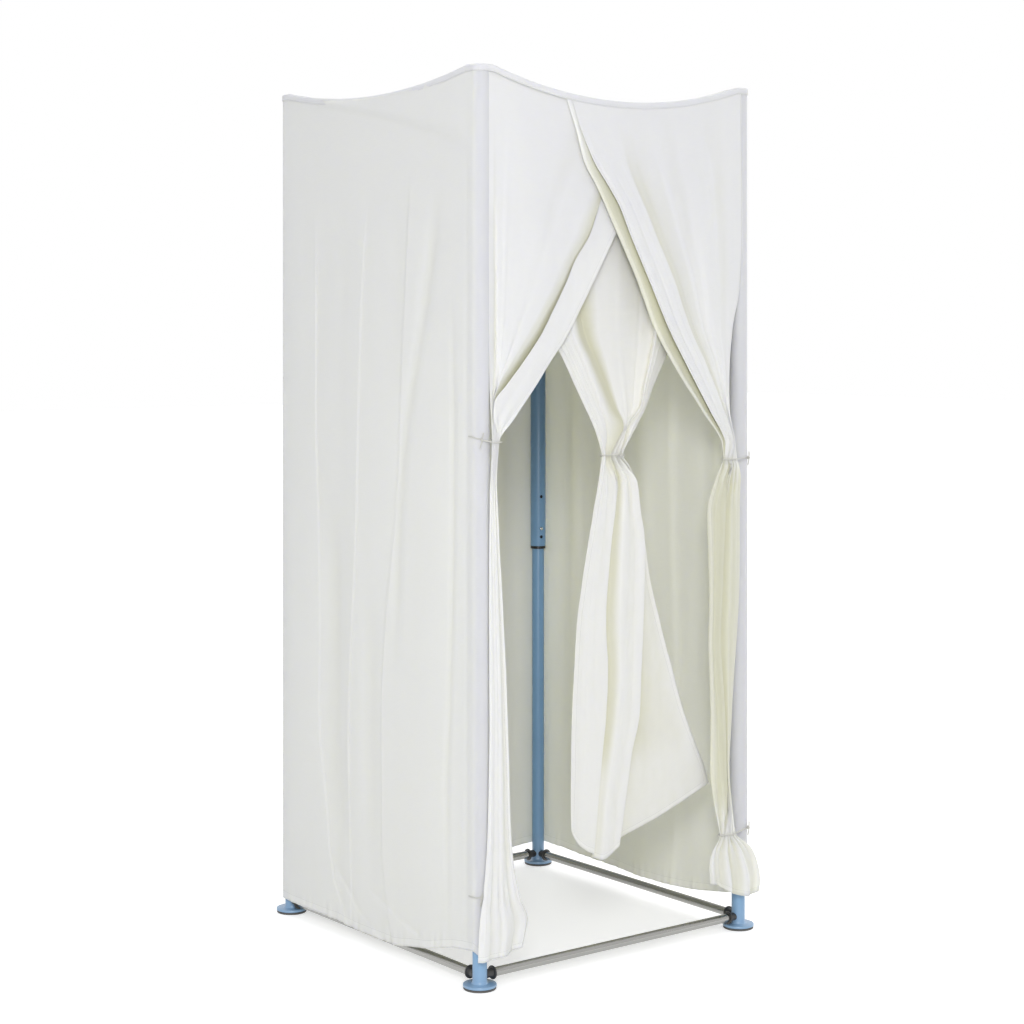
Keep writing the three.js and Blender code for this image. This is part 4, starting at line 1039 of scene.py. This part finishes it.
right_flap = drawn_cloth(
    "right_door_flap_cloth", right_places, right_table, flap_plane, -1, 6, 3, 51, 280, 170,
    flap_cloth, ("left", "bottom"),
    crimps=((0.090, 0.005, -2.0), (0.145, 0.006, -2.5), (0.165, 0.005, 1.5), (0.205, 0.008, -3.0),
            (0.235, 0.006, 1.5), (0.285, 0.006, -1.5), (0.400, 0.020, -2.5), (0.550, 0.020, 2.0),
            (0.860, 0.020, 2.5)),
    placed_shade=([0.5, 0.8, 1, 0.9, -0.3, -0.3, -0.2, 0.5, 0.1, 0, -0.2, 0, -0.3],
             [0.8, 0.7, 0.7, 0.8, 0.9, 1, 1, 1, 1, 0.9, 0.8, 0.7, 0.6], 0.84))
for sheet, node, width in ((left_flap, "left_door_flap", 0.50), (right_flap, "right_door_flap", 0.52)):
    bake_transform(sheet)
    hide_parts(node, f"{node}_tail", f"{node}_skirt")

# Inner curtain
# A privacy curtain just behind the doorway, sewn to the roof's front edge and tied at its waist.
# Above the tie its two sides roll forward over a flat middle, and below it the sheet fans out again.
curtain_plane = flap_plane + 0.0052
curtain_cloth = cloth_material("curtain_cloth", (0.852, 0.842, 0.768), hem_width=0.014,
                               crinkle=0.9, fold_shade_strength=0.9)
curtain_places = [0, 0.10, 0.20, 0.26, 0.30, 0.36, 0.48, 0.60, 0.70, 0.74, 0.77, 0.88, 1]
over_tie = [15, 13, 8, 2, 24, 28, 30, 30, 28, 22, 3, 8, 14]
under_tie = [11, 8, 6, 3, 13, 9, 7, 6, 4, 2, 19, 21, 19]
curtain_table = [
    (1.981, 1.981, 0, 0, 0, [-305, 305], 0),
    (1.830, 1.830, 0, 0, 2, [-280, -224, -168, -134, -112, -80, -14, 52, 110, 134, 150, 215, 280],
     [4, 4, 4, 5, 6, 8, 9, 9, 8, 7, 4, 4, 4]),
    (1.650, 1.650, 0, 0, 3, [-239, -205, -165, -143, -132, -112, -30, 55, 112, 136, 150, 190, 235],
     [14, 14, 13, 9, 17, 20, 22, 22, 21, 17, 8, 11, 13]),
    (1.530, 1.530, 0, 1, 3, [-212, -184, -154, -137, -121, -105, -30, 50, 105, 128, 141, 172, 207],
     [15, 14, 11, 6, 21, 24, 27, 27, 25, 18, 5, 9, 14]),
    (1.420, 1.420, 0, 1, 3, [-190, -165, -138, -119, -97, -86, -25, 45, 98, 116, 125, 155, 187], over_tie),
    (1.360, 1.360, 0, 2, 2, [-153, -133, -108, -88, -64, -56, -12, 45, 86, 101, 109, 130, 151], over_tie),
    (1.300, 1.300, 0, 3, 1, [-118, -99, -76, -58, -32, -26, 4, 46, 72, 84, 91, 104, 117], over_tie),
    (1.250, 1.250, 0, 4, 0, [-90, -73, -52, -36, -6, -2, 15, 45, 62, 70, 76, 84, 92],
     [13, 11, 7, 3, 21, 24, 26, 26, 23, 17, 3, 7, 12]),
    (1.210, 1.210, 0, 8, 0, [-67, -52, -34, -16, 20, 22, 27, 31, 33, 35, 38, 52, 66],
     [10, 9, 7, 6, 14, 16, 16, 15, 14, 12, 6, 8, 10]),
    (1.170, 1.170, 0, 18, 0, [-46, -34, -22, -12, -2, 2, 8, 14, 19, 22, 25, 33, 41], 9.2),
    (1.141, 1.141, 0, 21.5, 0, [-36, 26.5], 9.2),
    (1.115, 1.115, 0, 19, 0, [-41, -32, -22, -12, -8, -2, 8, 18, 27, 32, 34, 39, 44], 9.2),
    (1.080, 1.080, 0, 12, 2, [-47, -33, -14, 10, 3, 13, 28, 43, 57, 65, 56, 58, 62],
     [10, 8, 6, 5, 11, 8, 7, 6, 5, 4, 14, 16, 16]),
    (1.020, 1.016, 0, 7, 3, [-62, -44, -18, 4, -4, 8, 28, 48, 66, 77, 66, 70, 76], under_tie),
    (0.950, 0.944, 0, 5, 4, [-78, -57, -30, -8, -17, -1, 26, 52, 78, 90, 76, 82, 90], under_tie),
    (0.870, 0.862, 0, 4, 4, [-95, -71, -42, -18, -27, -9, 21, 50, 78, 90, 76, 88, 104], under_tie),
    (0.765, 0.752, 0, 2, 4, [-113, -86, -54, -26, -35, -15, 15, 44, 73, 86, 72, 100, 135], under_tie),
    (0.655, 0.644, 0, 1.5, 4, [-122, -93, -55, -20, -29, -8, 18, 44, 69, 80, 66, 115, 171], under_tie),
    (0.555, 0.545, 0, 1, 4, [-128, -98, -60, -26, -35, -15, 10, 36, 62, 74, 60, 128, 205], under_tie),
    (0.465, 0.465, 0.010, 1, 4, [-130, -102, -66, -38, -47, -28, -6, 16, 40, 51, 37, 135, 242], under_tie),
    (0.375, 0.405, 0.040, 1, 4, [-131, -106, -74, -50, -58, -42, -24, -4, 20, 33, 19, 140, 272], under_tie),
    (0.305, 0.356, 0.088, 1, 4, [-130, -110, -82, -62, -70, -54, -36, -14, 4, 14, 2, 143, 289], under_tie),
]
inner_curtain = drawn_cloth(
    "inner_curtain_cloth", curtain_places, curtain_table, curtain_plane, 1, 5, 3, 61, 250, 180,
    curtain_cloth, ("left", "right", "bottom"),
    crimps=((0.060, 0.010, -2.0), (0.130, 0.008, 2.0), (0.170, 0.008, -2.0), (0.230, 0.006, 1.5),
            (0.330, 0.008, 1.5), (0.540, 0.016, -2.0), (0.650, 0.010, 1.5), (0.830, 0.014, -2.0)),
    placed_shade=([0.1, -0.2, -0.2, 0.5, 1, 1, -0.4, -0.4, -0.3, 0, 0.4, 0.2, 0.1],
             [0.1, 0, 0, 0.2, 0.9, 0.8, 0.1, 0, 0, 0.4, 0.8, 0.3, 0.1], 0.86),
    creases=((1.470, 0.020, 0.0045, -0.0016, 0.30, 0.70), (1.425, -0.030, 0.0040, 0.0014, 0.34, 0.74),
             (1.375, 0.012, 0.0040, -0.0012, 0.40, 0.72)))
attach(inner_curtain, "upper_frame")
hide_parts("inner_curtain")

# Ties
# Thin twisted cotton cords, each with one small knot. The door cords run from the wall over the front of
# the post, round the drawn cloth and back to the post; the curtain's cord runs round its waist.
cord_radius, cord_sides = 0.0014, 10
strands_per_metre, strands_per_side = 420, 0.63
tie_material, tie_tree, tie_shader = new_material("tie_cord", (0.80, 0.79, 0.74), 0.85)
twist_place = node_of(tie_tree, "ShaderNodeUVMap", uv_map="strand")
twist = node_of(tie_tree, "ShaderNodeTexWave", Scale=1.0, Distortion=0.6, Detail=2.0,
                bands_direction="DIAGONAL")
tie_tree.links.new(twist_place.outputs[0], twist.inputs["Vector"])
raised(tie_tree, tie_shader, twist.outputs["Fac"], strength=0.8, distance=0.0005)
# Painted shade: the cord's colour is darker in the low bands of the twist, the same bands that sink in the
# bump.
twist_groove_shade = mix_colours(tie_tree, twist.outputs["Fac"], (0.62, 0.61, 0.55), (0.82, 0.81, 0.76))
tie_tree.links.new(twist_groove_shade, tie_shader.inputs["Base Color"])


def cord_tube(points, closed):
    """Vertices and faces of a round cord along points."""
    count, sides = len(points), cord_sides
    ahead = np.roll(points, -1, axis=0) - np.roll(points, 1, axis=0)
    if not closed:
        ahead[0], ahead[-1] = points[1] - points[0], points[-1] - points[-2]
    ahead /= np.linalg.norm(ahead, axis=1)[:, None]
    side = np.cross(ahead, (0, 0, 1.0))
    weak = np.linalg.norm(side, axis=1) < 0.05
    side[weak] = np.cross(ahead[weak], (0, 1.0, 0))
    side /= np.linalg.norm(side, axis=1)[:, None]
    up = np.cross(side, ahead)
    turn = 2 * np.pi * np.arange(sides) / sides
    ring = np.cos(turn)[None, :, None] * side[:, None] + np.sin(turn)[None, :, None] * up[:, None]
    vertices = (points[:, None] + cord_radius * ring).reshape(-1, 3)
    faces = []
    for i in range(count if closed else count - 1):
        for j in range(sides):
            a, b = i * sides + j, i * sides + (j + 1) % sides
            c, d = ((i + 1) % count) * sides + (j + 1) % sides, ((i + 1) % count) * sides + j
            faces.append((d, c, b, a))
    if not closed:
        faces.append(tuple(range(sides)))
        faces.append(tuple(range((count - 1) * sides, count * sides))[::-1])
    return vertices, faces


def rounded_path(points, closed=False, steps=10):
    """A smooth curve through points, as cord bends."""
    points = np.asarray(points, float)
    count = len(points)
    path = []
    for i in range(count if closed else count - 1):
        if closed:
            a, b, c, d = (points[(i + k) % count] for k in (-1, 0, 1, 2))
        else:
            a, b = points[max(i - 1, 0)], points[i]
            c, d = points[i + 1], points[min(i + 2, count - 1)]
        for t in np.arange(steps) / steps:
            path.append(0.5 * (2 * b + (c - a) * t + (2 * a - 5 * b + 4 * c - d) * t ** 2
                               + (3 * b - a - 3 * c + d) * t ** 3))
    if not closed:
        path.append(points[-1])
    return np.array(path)


def tie(node, body, route, knot, knot_out, closed=False):
    """One cord piece: its route round the cloth, and a small knot with two short tails."""
    knot, out = np.array(knot, float), np.array(knot_out, float)
    side = np.cross(out, (0, 0, 1.0))
    strands = [(rounded_path(route, closed), closed)]
    for up, lean, length in ((1, -0.25, 0.015), (-1, 0.2, 0.018)):
        tail = [knot + 0.0018 * out, knot + 0.0032 * out + (0, 0, 0.004 * up),
                knot + 0.0030 * out + lean * 0.5 * length * side + (0, 0, 0.5 * length * up),
                knot + 0.0022 * out + lean * length * side + (0, 0, length * up)]
        strands.append((rounded_path(tail), False))
    for shift in (-0.0012, 0.0014):
        ring = [knot + shift * side + (0.0016 + 0.0024 * np.cos(t)) * out + (0, 0, 0.0026 * np.sin(t))
                + 0.0008 * np.sin(t) * side for t in np.linspace(0, 2 * np.pi, 13)[:-1]]
        strands.append((rounded_path(ring, True, 3), True))
    vertices, faces, uvs = [], [], []
    for path, is_closed in strands:
        first = sum(len(tube) for tube in vertices)
        tube, tube_faces = cord_tube(path, is_closed)
        lengths = np.concatenate([[0], np.cumsum(np.linalg.norm(np.diff(path, axis=0), axis=1))])
        uvs.append(np.stack([np.repeat(lengths * strands_per_metre, cord_sides),
                             np.tile(np.arange(cord_sides) * strands_per_side, len(path))], axis=1))
        vertices.append(tube)
        faces += [tuple(first + k for k in face) for face in tube_faces]
    piece = new_piece(f"{node}_cord", np.concatenate(vertices), faces, tie_material, "strand",
                      np.concatenate(uvs))
    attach(piece, body)
    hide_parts(node)


def door_tie(node, body, side, low, high, height, away, pleat, lean=0.0, behind=False):
    """A door cord, for a bundle between x low and high. side is -1 at the left post. Behind is a cord
    whose loop is sewn to the back of the cloth, so it shows only where it comes round the post."""
    off_cloth, off_post = 0.0009, 0.0007
    knot_turn, past_post = 1.1, math.pi - 0.52
    reach = off_cloth + cord_radius
    middle = (low + high) / 2
    across, deep = (high - low) / 2 + reach, pleat / 2 + reach + 0.0005
    y = (left_plane if side < 0 else flap_plane) - away - pleat / 2
    on_wall = skin_radius + off_post + cord_radius

    def on_post(turn, z, out=on_wall):
        return side * (half_spacing + on_wall * math.cos(turn)), -half_spacing - out * math.sin(turn), z

    route = [(side * (half_spacing + on_wall), -half_spacing + 0.009, height + lean)]
    route += [on_post(turn, height + lean * (1 - turn)) for turn in np.radians([0, 22, 45, 68])]
    if behind:
        route += [on_post(turn, height) for turn in np.radians([90, 108, 126, 144, 162])]
    else:
        for turn in np.radians([150, 110, 75, 40, 0, -45]):
            route.append((middle - side * across * math.cos(turn), y - deep * math.sin(turn), height - lean))
        route.append(on_post(past_post, height))
    knot = on_post(knot_turn, height + lean * (1 - knot_turn), on_wall + 0.0004)
    tie(node, body, route, knot, (side * math.cos(knot_turn), -math.sin(knot_turn), 0))


door_tie("left_upper_tie", "upper_frame", -1, -0.3773, -0.3575, 1.190, 0.0092, 0.0145, lean=0.006)
door_tie("right_upper_tie", "upper_frame", 1, 0.3005, 0.3445, 1.122, 0.0092, 0.0154)
door_tie("left_lower_tie", "base_frame", -1, -0.3773, -0.3265, 0.202, 0.0077, 0.011, behind=True)
door_tie("right_lower_tie", "base_frame", 1, 0.2900, 0.3390, 0.241, 0.0085, 0.016)
waist_height = 1.141
waist_radii = 0.0330, 0.0135
waist_y = curtain_plane + 0.0092 + 0.01075
waist = [(-0.0048 + waist_radii[0] * math.cos(t), waist_y + waist_radii[1] * math.sin(t),
          waist_height + 0.0015 * math.sin(2 * t)) for t in np.linspace(0, 2 * np.pi, 25)[:-1]]
tie("curtain_tie", "upper_frame", waist, (0.004, waist_y - 0.0137, waist_height), (0, -1, 0), closed=True)

# Floor and light
# A plain pale floor and a white surround, with soft lamps from the front left, the right and above.
# None of it belongs to the fitting room.
floor_tone, light_tone, white = (0.50, 0.50, 0.50), (0.65, 0.66, 0.685), (1.0, 1.0, 1.0)
nothing_selected()
bpy.ops.mesh.primitive_plane_add(size=60, location=(0, 0, 0))
floor = bpy.context.object
floor.name = "floor"
floor_material, floor_tree, floor_shader = new_material("floor", (0.80, 0.80, 0.79), 0.6)
floor.data.materials.append(floor_material)


def seen_direct(tree):
    """1 where the camera or a reflection looks, and 0 for the light that falls on the object."""
    ray = tree.nodes.new("ShaderNodeLightPath").outputs
    reflected = calc(tree, "MAXIMUM", ray["Is Glossy Ray"], ray["Is Transmission Ray"])
    return calc(tree, "MAXIMUM", ray["Is Camera Ray"], reflected)


floor_glow = mix_colours(floor_tree, seen_direct(floor_tree), (0.0, 0.0, 0.0), floor_tone)
floor_tree.links.new(floor_glow, floor_shader.inputs["Emission Color"])
floor_shader.inputs["Emission Strength"].default_value = 1.0
for name, place, aim, size, power, colour in (
        ("key", (-3.6, -4.75, 3.1), (0, 0, 1.0), 1.3, 145, (0.98, 0.98, 0.98)),
        ("low front", (-2.9, -4.5, 1.15), (0.2, 0.2, 0.95), 0.9, 20, (0.985, 0.985, 0.99)),
        ("right side", (4.2, 0.0, 2.2), (0, 0, 1.0), 2.2, 68, (1.0, 1.0, 0.98)),
        ("overhead", (0.2, 0.3, 4.8), (0, 0, 1.0), 2.2, 14, (1.0, 1.0, 0.98))):
    data = bpy.data.lights.new(name, "AREA")
    data.shape = "SQUARE"
    data.size = size
    data.energy = power
    data.color = colour
    lamp = bpy.data.objects.new(name, data)
    lamp.location = place
    lamp.rotation_euler = (Vector(aim) - Vector(place)).to_track_quat("-Z", "Y").to_euler()
    bpy.context.scene.collection.objects.link(lamp)
world = bpy.data.worlds.new("surround")
world.use_nodes = True
bpy.context.scene.world = world
world_tree = world.node_tree
sky = mix_colours(world_tree, seen_direct(world_tree), light_tone, white)
world_tree.links.new(sky, world_tree.nodes["Background"].inputs["Color"])
bpy.context.scene.view_settings.view_transform = "Standard"
